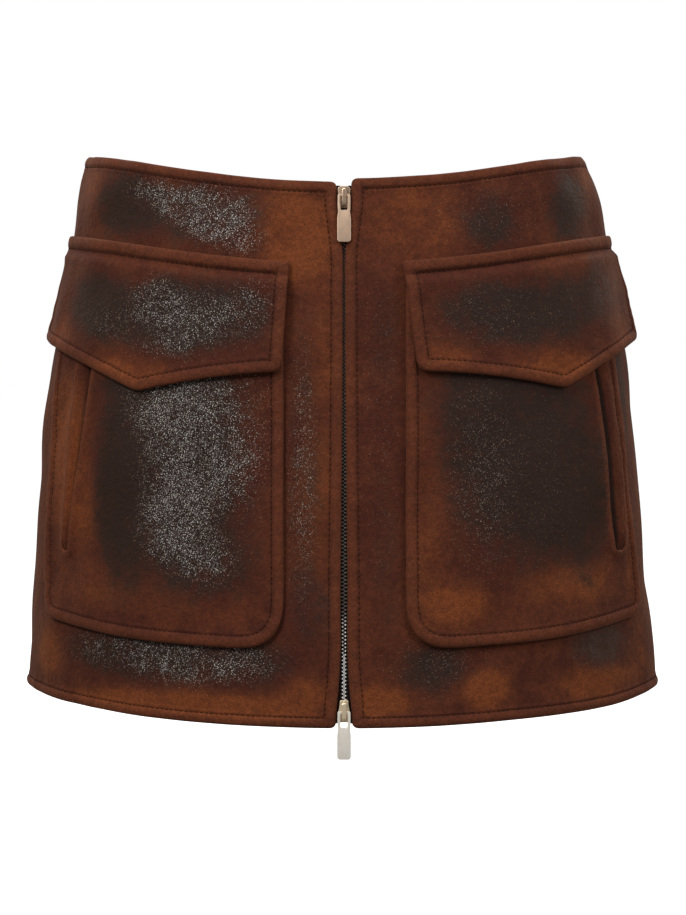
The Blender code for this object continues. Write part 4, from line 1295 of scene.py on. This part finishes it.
def flap_cut(side):
    place = side_place(side.sign)
    first, last = (float(value) for value in flap_ends(side, -0.058))
    top = on_line(place, np.linspace(first, last, 160), flap_top_z, -0.055)

    def foot(arcs):
        z = np.full(len(arcs), -0.120)
        for _ in range(8):
            upper = flap_top_z(angle_at(side.sign * arcs, z))
            z = upper - flap_length(side, arcs, upper)
        return np.stack([arcs, z], -1)

    inner_foot, outer_foot = side.flap_inner_bottom, last
    for _ in range(6):
        inner_foot = float(flap_ends(side, foot(np.array([inner_foot]))[0, 1])[0])
        outer_foot = float(flap_ends(side, foot(np.array([outer_foot]))[0, 1])[1])
    outer_half = foot(np.linspace(outer_foot, side.flap_point, 100))
    inner_half = foot(np.linspace(side.flap_point, inner_foot, 100))
    down = np.linspace(top[-1, 1], outer_half[0, 1], 80)
    outer_end = np.stack([flap_ends(side, down)[1], down], -1)
    up = np.linspace(inner_half[-1, 1], top[0, 1], 80)
    inner_end = np.stack([flap_ends(side, up)[0], up], -1)
    top[0, 0], top[-1, 0] = inner_end[-1, 0], outer_end[0, 0]
    edges = [("band", top)] + [("patch", edge) for edge in (outer_end, outer_half, inner_half, inner_end)]
    loop, kinds = outline_of(edges, [0.0018, 0.0018, 0.0070, 0.0040, 0.0070])
    return Cut(f"suede_flap_{side.name}", place, loop, kinds, None, 0.0026)


def flap_lifts(side, seed):
    def lifts(points, found):
        arc, z = points[:, 0], points[:, 1]
        top = flap_top_z(angle_at(side.sign * arc, z))
        length = flap_length(side, arc, top)
        _, end = flap_ends(side, z)
        down = np.clip(top - z, 0, None)
        share = np.clip(down / length, 0, 1)
        over_pocket = FLAP_OVER_POCKET_LIFT + FLAP_LOWER_LIFT * share
        at_end = side.flap_end_top + (side.flap_end_foot - side.flap_end_top) * share
        outward = ease((arc - POCKET_OUTER_ARC) / (end - POCKET_OUTER_ARC))
        stand = over_pocket + (at_end - over_pocket) * outward
        off = ease((down - FLAP_BAND) / (FLAP_FIELD_START - FLAP_BAND))
        low = FLAP_BAND_LIFT + (stand - FLAP_BAND_LIFT) * off
        band = FLAP_BAND_STANDS * (1 - ease((down - FLAP_BAND * 0.75) / (FLAP_BAND * 0.4)))
        high, under = patch_thickness(found, band, seed)
        pressed = ease((arc - end + 0.050) / 0.045) * (1 - ease((down - 0.016) / 0.020))
        low -= FLAP_PRESSED_LOW * pressed * (1 - off) + FLAP_PRESSED * pressed * off
        sewn_down = FLAP_BAND_SINK * (1 - off) * nose(found.rim, PATCH_NOSE)
        left = 1 - FLAP_PRESSED_THIN * pressed
        return low + high * left, low + under * left - sewn_down

    return lifts


# ---------------------------------------------------------------- stitches

STITCH_PITCH = 0.0032
STITCH_HALF = 0.00108
STITCH_RADIUS = 0.00030
STITCH_SIDES = 6
# Along a stitch, as shares of its half length: radius share and height above the groove
StitchRing = namedtuple("StitchRing", "at radius rise")
STITCH_RINGS = [
    StitchRing(-1.00, 0.35, -0.00022),
    StitchRing(-0.75, 0.90, 0.00004),
    StitchRing(0.00, 1.05, 0.00020),
    StitchRing(0.75, 0.90, 0.00004),
    StitchRing(1.00, 0.35, -0.00022),
]
ON_LINE = 0.03  # how far from its line a stitch may be, as a share of the stitch distance
RUN_BREAK = 0.0075  # a wider gap between points starts a new run


def stitch_runs(cut):
    """Lines of the topstitching in the pattern, each a run of points."""
    reach = np.array([STITCH_IN.get(kind, 0.0) for kind in cut.kinds])
    points = cut.loop + inward_normals(cut.loop) * reach[:, None]
    found = measure(cut, points)
    clear = (reach > 0) & inside(points, cut.loop) & (found.lip > 0.001) & (found.rim > 0.0012)
    if len(found.lines) == 1:
        families = [clear & (np.abs(found.share - 1) < ON_LINE)]
    else:
        families = [
            clear & (cut.kinds == kind) & (np.abs(line - 1) < ON_LINE)
            for kind, line in zip(("band", "patch"), found.lines)
        ]
    runs = []
    for good in families:
        order = np.flatnonzero(good)
        run = [order[0]]
        for before, now in zip(order[:-1], order[1:]):
            if np.linalg.norm(points[now] - points[before]) > RUN_BREAK:
                runs.append(run)
                run = []
            run.append(now)
        runs.append(run)
    return [points[run] for run in runs if len(run) > 4]


def stitch_faces(base):
    """Faces of the one stitch whose rings of vertices begin at base."""
    last = base + (len(STITCH_RINGS) - 1) * STITCH_SIDES
    faces = []
    for ring in range(base, last, STITCH_SIDES):
        for k in range(STITCH_SIDES):
            a, b = ring + k, ring + (k + 1) % STITCH_SIDES
            faces.append((a, b, b + STITCH_SIDES, a + STITCH_SIDES))
    faces.append(tuple(base + k for k in reversed(range(STITCH_SIDES))))
    faces.append(tuple(last + k for k in range(STITCH_SIDES)))
    return faces


def stitches(cut, lifts, name):
    """One mesh of short dark threads laid in the grooves of a cut piece."""
    verts, faces = [], []
    for run in stitch_runs(cut):
        lengths = lengths_along(run)
        at = np.arange(STITCH_PITCH / 2, lengths[-1], STITCH_PITCH)
        if not len(at):
            continue
        rings = []
        for ring in STITCH_RINGS:
            along = np.clip(at + ring.at * STITCH_HALF, 0, lengths[-1])
            points = np.stack([np.interp(along, lengths, run[:, k]) for k in range(2)], -1)
            arc, z = cut.place(points)
            high, _ = lifts(points, measure(cut, points))
            rings.append((lifted(arc, z, high + ring.rise), body_normal(angle_at(arc, z), z)))
        way = rings[-1][0] - rings[0][0]
        way /= np.linalg.norm(way, axis=1, keepdims=True)
        block = np.empty((len(at), len(STITCH_RINGS), STITCH_SIDES, 3))
        for r, (ring, (centre, normal)) in enumerate(zip(STITCH_RINGS, rings)):
            across = np.cross(way, normal)
            across /= np.linalg.norm(across, axis=1, keepdims=True)
            up = np.cross(across, way)
            for k in range(STITCH_SIDES):
                turn = 2 * math.pi * k / STITCH_SIDES
                out = across * math.cos(turn) + up * math.sin(turn)
                block[:, r, k] = centre + out * STITCH_RADIUS * ring.radius
        start = sum(len(part) for part in verts)
        for i in range(len(at)):
            faces += stitch_faces(start + i * len(STITCH_RINGS) * STITCH_SIDES)
        verts.append(block.reshape(-1, 3))
    return mesh_object(name, np.concatenate(verts), faces, THREAD)


# ---------------------------------------------------------------- zip

TAPE_SECTION = [  # arc and lift round one tape, from its beaded edge
    (0.00030, -0.00330),
    (0.00042, -0.00302),
    (0.00110, -0.00284),
    (0.00190, -0.00264),
    (0.00262, -0.00284),
    (0.00330, -0.00288),
    (0.00600, -0.00284),
    (0.00900, -0.00282),
    (0.01310, -0.00284),
    (0.01350, -0.00330),
    (0.01310, -0.00376),
    (0.00900, -0.00378),
    (0.00600, -0.00376),
    (0.00330, -0.00372),
    (0.00262, -0.00376),
    (0.00190, -0.00398),
    (0.00110, -0.00376),
    (0.00042, -0.00358),
]
SEAM_STRIP_SECTION = [  # arc from the seam and lift, round the strip
    (-0.0100, -0.00230),
    (-0.0060, -0.00216),
    (0.0000, -0.00214),
    (0.0060, -0.00216),
    (0.0100, -0.00230),
    (0.0100, -0.00300),
    (0.0060, -0.00330),
    (0.0000, -0.00300),
    (-0.0060, -0.00330),
    (-0.0100, -0.00300),
]
SEAM_STRIP_SHORT = 0.0012  # how far the strip stays inside waist and hem
TAPE_TOP_Z = -0.0190
TAPE_FOOT_Z = -0.3372
TOP_SLIDER_Z = -0.0262
BOTTOM_SLIDER_Z = -0.3298
TOOTH_PITCH = 0.00220
TOOTH_HEIGHT = 0.00104
TOOTH_HALF_DEEP = 0.00098
TOOTH_LIFT = -0.00322
TOOTH_REACH = (-0.00035, 0.00205)  # from past the middle to over the bead
# Painted shade: above this height the upper teeth are painted dark, for the shade between the raised edges of
# the cloth.
TEETH_SHADE_FROM_Z = -0.279  # above here the teeth are dark, as the photograph shows them
TEETH_SHADE_FADE = 0.009
UPPER_TEETH_SHADE = 0.88
DARK_BARS = 0.93
# The round head of a tooth: how far off the middle, its radius, how far it stands out and is sunk in
KNOB_AT = 0.00080
KNOB_RADIUS = 0.00050
KNOB_OUT = 0.00060
KNOB_SUNK = 0.00040
KNOB_SIDES = 10
TOOTH_SPREAD = 0.0019
TOOTH_FIRST_Z = -0.0205
TOOTH_LAST_Z = -0.3350


def zip_tape(side):
    z = np.linspace(TAPE_TOP_Z, TAPE_FOOT_Z, 150)[:, None]
    across, lift = np.array(TAPE_SECTION).T
    arc = side.sign * (across + zip_spread(z) * (1 - ease((across - 0.002) / 0.008)))
    return swept(f"zip_tape_cloth_{side.name}", side, arc, z, lift, TAPE_CLOTH)


def zip_spread(z):
    """How far each row of teeth stands off the middle where it runs through a slider."""
    upper = ease((z - TOP_SLIDER_Z + 0.0015) / 0.0055)
    lower = ease((BOTTOM_SLIDER_Z + 0.0015 - z) / 0.0055)
    return TOOTH_SPREAD * (upper + lower)


def seam_strip(side):
    """The pressed-open allowances behind a side seam, as one strip from waist to hem."""
    z = np.linspace(-SEAM_STRIP_SHORT, HEM_SIDE_Z + SEAM_STRIP_SHORT, 130)[:, None]
    across, lift = np.array(SEAM_STRIP_SECTION).T
    arc = side.sign * (side_arc(z, side.sign) + across)
    return swept(f"seam_allowance_{side.name}", side, arc, z, lift, SUEDE, {"inside": np.ones(arc.size)})


def swept(name, side, arc, z, lift, surface, colours=None):
    """A piece whose closed section, a row of arcs and lifts for each height, is swept down the body."""
    arc, z, lift = np.broadcast_arrays(arc, z, lift)
    rows, count = arc.shape
    faces = []
    for r in range(rows - 1):
        for k in range(count):
            a, b = r * count + k, r * count + (k + 1) % count
            faces.append((a, a + count, b + count, b))
    faces.append(tuple(range(count)))
    faces.append(tuple((rows - 1) * count + k for k in reversed(range(count))))
    if side.sign > 0:
        faces = [face[::-1] for face in faces]
    verts = lifted(arc, z, lift).reshape(-1, 3)
    return mesh_object(name, verts, faces, surface, colours, sharp=50)


def slider_frame(z):
    """Place and tilt of the zip's own frame at a height: x right, z up the zip, -y out of the cloth."""
    at = np.array(z, float)
    normal = body_normal(np.array(0.0), at)
    place = body_point(np.array(0.0), at)
    tilt = -math.atan2(normal[2], -normal[1])
    return Matrix.Translation(Vector(place)) @ Matrix.Rotation(tilt, 4, "X")


def bevel_sharp(mesh_data, width, segments):
    edges = [
        edge
        for edge in mesh_data.edges
        if len(edge.link_faces) == 2 and edge.calc_face_angle(0.0) > math.radians(30)
    ]
    bmesh.ops.bevel(
        mesh_data,
        geom=edges,
        offset=width,
        offset_type="OFFSET",
        segments=segments,
        profile=0.5,
        affect="EDGES",
        clamp_overlap=True,
    )


def solid(points, loops, run, bevel, segments=2):
    """Vertices and faces of a prism with rounded edges. Its flat face is made of loops of the points."""
    mesh_data = bmesh.new()
    verts = [mesh_data.verts.new(point) for point in points]
    for loop in loops:
        mesh_data.faces.new([verts[i] for i in loop])
    made = bmesh.ops.extrude_face_region(mesh_data, geom=mesh_data.faces[:])
    moved = [item for item in made["geom"] if isinstance(item, bmesh.types.BMVert)]
    bmesh.ops.translate(mesh_data, verts=moved, vec=run)
    bmesh.ops.recalc_face_normals(mesh_data, faces=mesh_data.faces)
    if bevel:
        bevel_sharp(mesh_data, bevel, segments)
    many_sided = [face for face in mesh_data.faces if len(face.verts) > 4]
    bmesh.ops.triangulate(mesh_data, faces=many_sided, ngon_method="EAR_CLIP")
    # The bevel numbers its vertices in another order each run, so they are put in the order of their places
    verts = sorted(mesh_data.verts, key=lambda vert: [round(value, 7) for value in vert.co])
    number = {vert: i for i, vert in enumerate(verts)}
    faces = []
    for face in mesh_data.faces:
        corners = [number[vert] for vert in face.verts]
        first = corners.index(min(corners))
        faces.append(tuple(corners[first:] + corners[:first]))
    places = [vert.co.copy() for vert in verts]
    mesh_data.free()
    return places, sorted(faces)


def prism(ring, run, bevel, segments=2):
    return solid(ring, [range(len(ring))], run, bevel, segments)


def joined(name, parts, surface, sharp=32, colours=None):
    """One object from (vertices, faces, matrix) parts. colours gives its paint at its vertices."""
    verts, faces = [], []
    for part_verts, part_faces, matrix in parts:
        start = len(verts)
        verts += [matrix @ vert for vert in part_verts]
        faces += [tuple(start + i for i in face) for face in part_faces]
    places = np.array([tuple(vert) for vert in verts])
    return mesh_object(name, places, faces, surface, colours(places) if colours else None, sharp=sharp)


def tooth(sign):
    """A tooth in the zip's frame: a bar with a rounded head past the middle, clamped over the bead."""
    inner, outer = TOOTH_REACH
    half = TOOTH_HEIGHT / 2
    upper = [
        (inner + 0.0001, half * 0.60),
        (inner + 0.0004, half),
        (inner + 0.0011, half),
        (inner + 0.0015, half * 0.72),
        (outer - 0.0004, half * 0.80),
        (outer, half * 0.7),
    ]
    ring = upper + [(x, -up) for x, up in reversed(upper)]
    front = -(TOOTH_LIFT + TOOTH_HALF_DEEP)
    loop = [(sign * x, front, up) for x, up in ring]
    verts, faces = prism(loop, (0, 2 * TOOTH_HALF_DEEP, 0), 0.00018, 1)
    knob = []
    for k in range(KNOB_SIDES):
        turn = 2 * math.pi * k / KNOB_SIDES
        x, up = KNOB_RADIUS * math.cos(turn), KNOB_RADIUS * math.sin(turn)
        knob.append((sign * KNOB_AT + x, front + KNOB_SUNK, up))
    knob_verts, knob_faces = prism(knob, (0, -KNOB_SUNK - KNOB_OUT, 0), KNOB_RADIUS * 0.45, 3)
    start = len(verts)
    return verts + knob_verts, faces + [tuple(start + i for i in face) for face in knob_faces], start


def zip_teeth(side):
    verts, faces, knob_start = tooth(side.sign)
    parts = []
    offset = 0.0 if side.sign < 0 else TOOTH_PITCH / 2
    for z in np.arange(TOOTH_FIRST_Z - offset, TOOTH_LAST_Z, -TOOTH_PITCH):
        shift = Matrix.Translation((side.sign * float(zip_spread(z)), 0, 0))
        parts.append((verts, faces, slider_frame(float(z)) @ shift))

    # The upper teeth get painted shade, and every tooth's bar is painted darker than its bright head.
    def paint_dark_teeth(places):
        bar = (np.arange(len(places)) % len(verts)) < knob_start
        upper = UPPER_TEETH_SHADE * ease((places[:, 2] - TEETH_SHADE_FROM_Z) / TEETH_SHADE_FADE)
        return {"dull": np.maximum(upper, DARK_BARS * bar)}

    return joined(f"zip_teeth_{side.name}", parts, TEETH_METAL, 40, paint_dark_teeth)


SLIDER_LENGTH = 0.0132
SLIDER_HALF_WIDE = 0.0038
SliderEdge = namedtuple("SliderEdge", "up wide")
SLIDER_OUTLINE = [
    SliderEdge(1.00, 0.58),
    SliderEdge(0.93, 0.84),
    SliderEdge(0.82, 0.97),
    SliderEdge(0.60, 1.00),
    SliderEdge(0.35, 0.98),
    SliderEdge(0.10, 0.92),
    SliderEdge(-0.25, 0.80),
    SliderEdge(-0.60, 0.70),
    SliderEdge(-0.90, 0.66),
    SliderEdge(-1.00, 0.50),
]
PLATE_FRONT_OUT = -0.0003
PLATE_FRONT_IN = -0.0018
PLATE_BACK_OUT = -0.0058
PLATE_BACK_IN = -0.0047
BAIL_HALF_WIDTH = 0.0013
BAIL_HALF_LENGTH = 0.0058
BAIL_INNER_OUT = 0.0031
BAIL_OUTER_OUT = 0.0040
BAIL_LEG = 0.0011
BAIL_ROOT = PLATE_FRONT_OUT - 0.0006  # its legs start inside the front plate
BAIL_OUTER_CORNER = 0.0022
BAIL_INNER_CORNER = 0.0013
PLATE_BEVEL = 0.00038
FLANGE_WIDE = 0.0007
FLANGE_DEEP = 0.0010


def rounded_corner(x, z, radius, first, steps=6):
    """A quarter turn round (x, z), from angle first in quarter turns, counter-clockwise."""
    turns = [math.pi / 2 * (first + i / steps) for i in range(steps + 1)]
    return [(x + radius * math.cos(turn), z + radius * math.sin(turn)) for turn in turns]


def bail_half(out, up, radius):
    """Upper half of one face of the bail, as lifts and heights, from its root to its middle."""
    return [(BAIL_ROOT, up), *rounded_corner(out - radius, up - radius, radius, 0)[::-1]]


def slider(name, z, wide_end, surface):
    """A slider of two plates, the flanges and the wedge between them, and the bail."""
    half = [(SLIDER_HALF_WIDE * edge.wide, wide_end * SLIDER_LENGTH / 2 * edge.up) for edge in SLIDER_OUTLINE]
    outline = half + [(-x, up) for x, up in reversed(half)]
    parts = []
    for outside, inward in ((PLATE_FRONT_OUT, PLATE_FRONT_IN), (PLATE_BACK_OUT, PLATE_BACK_IN)):
        ring = [(x, -outside, up) for x, up in outline]
        parts.append(prism(ring, (0, outside - inward, 0), PLATE_BEVEL, 3))
    for sign in (-1, 1):  # the flanges that guide the teeth
        edge = [(sign * x, up) for x, up in half[2:-1]]
        inner = [(x - sign * FLANGE_WIDE, up) for x, up in edge]
        for out in (-0.0015, -0.0040):
            ring = [(x, -out, up) for x, up in edge + inner[::-1]]
            parts.append(prism(ring, (0, FLANGE_DEEP, 0), 0.00012, 1))
    near, far = wide_end * 0.0010, wide_end * 0.0055  # the wedge that parts the teeth
    ring = [(-0.0010, 0.0014, near), (0.0010, 0.0014, near), (0.0013, 0.0014, far), (-0.0013, 0.0014, far)]
    parts.append(prism(ring, (0, 0.0038, 0), 0.0, 1))
    outer = bail_half(BAIL_OUTER_OUT, BAIL_HALF_LENGTH, BAIL_OUTER_CORNER)
    inner = bail_half(BAIL_INNER_OUT, BAIL_HALF_LENGTH - BAIL_LEG, BAIL_INNER_CORNER)
    section = outer + [(lift, -up) for lift, up in reversed(outer)]
    section += [(lift, -up) for lift, up in inner] + inner[::-1]
    ring = [(-BAIL_HALF_WIDTH, -lift, up) for lift, up in section]
    parts.append(prism(ring, (2 * BAIL_HALF_WIDTH, 0, 0), 0.00030, 2))
    place = slider_frame(z)
    return joined(name, [(*part, place) for part in parts], surface)


PULL_OUT = 0.0019
PULL_THICKNESS = 0.0013
PULL_HALF_TOP = 0.0038
PULL_HALF_BOTTOM = 0.0041
PULL_BAR = 0.00075
PULL_LENGTH = 0.0281
WINDOW_HALF = 0.00205
WINDOW_LENGTH = 0.0090
WINDOW_CORNER = 0.0005
PULL_TOP_CORNER = 0.0012
PULL_FOOT_CORNER = 0.0017
PULL_NECK = [  # half width and height where the sides draw in a little below the window
    (PULL_HALF_TOP + 0.00005, -0.0060),
    (PULL_HALF_TOP - 0.00025, -0.0102),
    (PULL_HALF_BOTTOM, -0.0135),
]
TOP_HINGE_RISE = 0.0008
BOTTOM_HINGE_RISE = -0.0006


def pull(name, slider_z, rise, hangs_plumb, surface):
    """A pull tab with a window, round the bail of the slider at a height."""
    half = [(0.0, PULL_BAR), (PULL_HALF_TOP * 0.35, PULL_BAR)]
    x, z = PULL_HALF_TOP - PULL_TOP_CORNER, PULL_BAR - PULL_TOP_CORNER
    half += rounded_corner(x, z, PULL_TOP_CORNER, 0)[::-1] + PULL_NECK
    x, z = PULL_HALF_BOTTOM - PULL_FOOT_CORNER, -PULL_LENGTH + PULL_FOOT_CORNER
    half += rounded_corner(x, z, PULL_FOOT_CORNER, 3)[::-1]
    outline = half + [(-x, z) for x, z in reversed(half[1:])]
    wide, top, foot = WINDOW_HALF - WINDOW_CORNER, -PULL_BAR - WINDOW_CORNER, -WINDOW_LENGTH + WINDOW_CORNER
    window = []
    for first, (x, z) in enumerate(((wide, top), (-wide, top), (-wide, foot), (wide, foot))):
        window += rounded_corner(x, z, WINDOW_CORNER, first, 3)
    points = [(x, -PULL_THICKNESS / 2, z) for x, z in outline + window]
    around, corner = len(outline), len(window) // 4
    foot_end, top_end = around + 3 * corner, around + corner - 1
    right = [*range(len(half)), *range(foot_end, len(points)), *range(around, top_end + 1)]
    left = [*range(len(half) - 1, around), 0, *range(top_end, foot_end + 1)]
    matrix = slider_frame(slider_z) @ Matrix.Translation((0, -PULL_OUT, rise))
    if hangs_plumb:
        matrix = Matrix.Translation(matrix.to_translation())
    verts, faces = solid(points, [right, left], (0, PULL_THICKNESS, 0), 0.00030, 3)
    return joined(name, [(verts, faces, matrix)], surface)


# ---------------------------------------------------------------- the skirt

PUCKER_SEEDS = {"back": 31, "front": 41, "pocket": 51, "flap": 61}


def loop_area(loop):
    x, y = loop[:, 0], loop[:, 1]
    return abs((x * np.roll(y, -1) - np.roll(x, -1) * y).sum()) / 2


def dress(cut, lifts, paint, node, extras=()):
    """Make one cut piece with its stitches, put them on the skirt, and hide the CAD part that it replaces."""
    obj = cloth(cut, lifts, paint, SUEDE)
    sewn = stitches(cut, lifts, cut.name.replace("suede", "topstitch"))
    for piece in (obj, sewn, *extras):
        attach(piece, "skirt")
    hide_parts(node)
    area = loop_area(cut.loop)
    if cut.hole is not None:
        area -= loop_area(cut.hole)


allowances = [seam_strip(side) for side in (LEFT, RIGHT)]
back_lifts = panel_lifts(PUCKER_SEEDS["back"])
dress(back_cut(), back_lifts, paint_for("panel", "back"), "back", allowances)
for side in (LEFT, RIGHT):
    name = side.name
    seeds = {layer: seed + side.sign for layer, seed in PUCKER_SEEDS.items()}
    lifts = panel_lifts(seeds["front"])
    dress(front_cut(side), lifts, paint_for("panel", name), f"front_{name}")
    lifts = pocket_lifts(side, seeds["pocket"])
    facing = [pocket_facing(side)]
    dress(pocket_cut(side), lifts, paint_for("pocket", name), f"pocket_{name}", facing)
    lifts = flap_lifts(side, seeds["flap"])
    dress(flap_cut(side), lifts, paint_for("flap", name), f"flap_{name}")
    tape = zip_tape(side)
    teeth = zip_teeth(side)
    for piece, slot in ((tape, "zip_tape"), (teeth, "zip_metal")):
        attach(piece, "skirt")
    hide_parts(f"zip_tape_{name}")

for name, z, wide_end, metal in (
    ("top", TOP_SLIDER_Z, 1, TOP_SLIDER_SHADED_METAL),
    ("bottom", BOTTOM_SLIDER_Z, -1, BOTTOM_SLIDER_LIT_METAL),
):
    made = slider(f"zip_slider_{name}", z, wide_end, metal)
    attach(made, "skirt")
    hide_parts(f"slider_{name}")
for name, z, rise, plumb, metal in (
    ("top", TOP_SLIDER_Z, TOP_HINGE_RISE, False, TOP_PULL_METAL),
    ("bottom", BOTTOM_SLIDER_Z, BOTTOM_HINGE_RISE, True, BOTTOM_PULL_LIT_METAL),
):
    made = pull(f"zip_pull_{name}", z, rise, plumb, metal)
    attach(made, f"{name}_pull")
    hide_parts(f"pull_{name}")

# ---------------------------------------------------------------- floor, light and camera

AMBIENT = 0.22
FLOOR_GLOW = 0.86
FLOOR_Z = -0.60
SKIRT_MIDDLE = Vector((0, 0, -0.17))
CAMERA_PLACE = (-0.0006, -2.0, -0.050)
CAMERA_LENS = 125.0
CAMERA_DIP = 3.97  # degrees that it looks down

floor_mesh = bpy.data.meshes.new("studio_floor")
bm = bmesh.new()
bmesh.ops.create_circle(bm, cap_ends=True, segments=96, radius=9.0)
bm.to_mesh(floor_mesh)
bm.free()
floor_surface, floor_shader = new_material("pale_floor")
floor_shader.inputs["Base Color"].default_value = (0.86, 0.86, 0.85, 1.0)
floor_shader.inputs["Roughness"].default_value = 0.9
floor_shader.inputs["Specular IOR Level"].default_value = 0.0
floor_shader.inputs["Emission Color"].default_value = (1.0, 1.0, 1.0, 1.0)
floor_shader.inputs["Emission Strength"].default_value = FLOOR_GLOW
floor_mesh.materials.append(floor_surface)
floor = bpy.data.objects.new("studio_floor", floor_mesh)
floor.location = (0, 0, FLOOR_Z)
floor.visible_diffuse = False
floor.visible_glossy = False
bpy.context.scene.collection.objects.link(floor)


def softbox(name, azimuth, elevation, distance, size, watts):
    """A square area light that faces the skirt. Azimuth 0 is in front, and positive is to the right."""
    light = bpy.data.lights.new(name, "AREA")
    light.size = size
    light.energy = watts
    obj = bpy.data.objects.new(name, light)
    turn, tilt = math.radians(azimuth), math.radians(elevation)
    way = Vector((math.sin(turn) * math.cos(tilt), -math.cos(turn) * math.cos(tilt), math.sin(tilt)))
    obj.location = SKIRT_MIDDLE + way * distance
    obj.rotation_euler = way.to_track_quat("Z", "Y").to_euler()
    bpy.context.scene.collection.objects.link(obj)


softbox("key_left", -40, 36, 2.2, 0.7, 24.0)
softbox("fill_right", 56, 28, 2.4, 0.9, 18.5)
softbox("top_front", 0, 66, 2.0, 0.8, 11.5)
softbox("back_left", -140, 35, 2.4, 1.0, 17.0)
softbox("back_right", 140, 35, 2.4, 1.0, 17.0)

world = bpy.data.worlds.new("studio")
world.use_nodes = True
world_tree = world.node_tree
room = world_tree.nodes["Background"]
room.inputs["Color"].default_value = (1.0, 1.0, 1.0, 1.0)
room.inputs["Strength"].default_value = AMBIENT
backdrop = world_tree.nodes.new("ShaderNodeBackground")
backdrop.inputs["Color"].default_value = (1.0, 1.0, 1.0, 1.0)
backdrop.inputs["Strength"].default_value = 1.0
chosen = world_tree.nodes.new("ShaderNodeMixShader")
seen = world_tree.nodes.new("ShaderNodeLightPath")
world_tree.links.new(seen.outputs["Is Camera Ray"], chosen.inputs["Fac"])
world_tree.links.new(room.outputs["Background"], chosen.inputs[1])
world_tree.links.new(backdrop.outputs["Background"], chosen.inputs[2])
world_tree.links.new(chosen.outputs["Shader"], world_tree.nodes["World Output"].inputs["Surface"])
bpy.context.scene.world = world
bpy.context.scene.view_settings.view_transform = "Standard"

camera_data = bpy.data.cameras.new("camera")
camera_data.lens = CAMERA_LENS
camera_data.sensor_width = 36.0
camera_data.sensor_fit = "AUTO"
camera = bpy.data.objects.new("camera", camera_data)
camera.location = CAMERA_PLACE
camera.rotation_euler = (math.radians(90 - CAMERA_DIP), 0, 0)
bpy.context.scene.collection.objects.link(camera)
bpy.context.scene.camera = camera
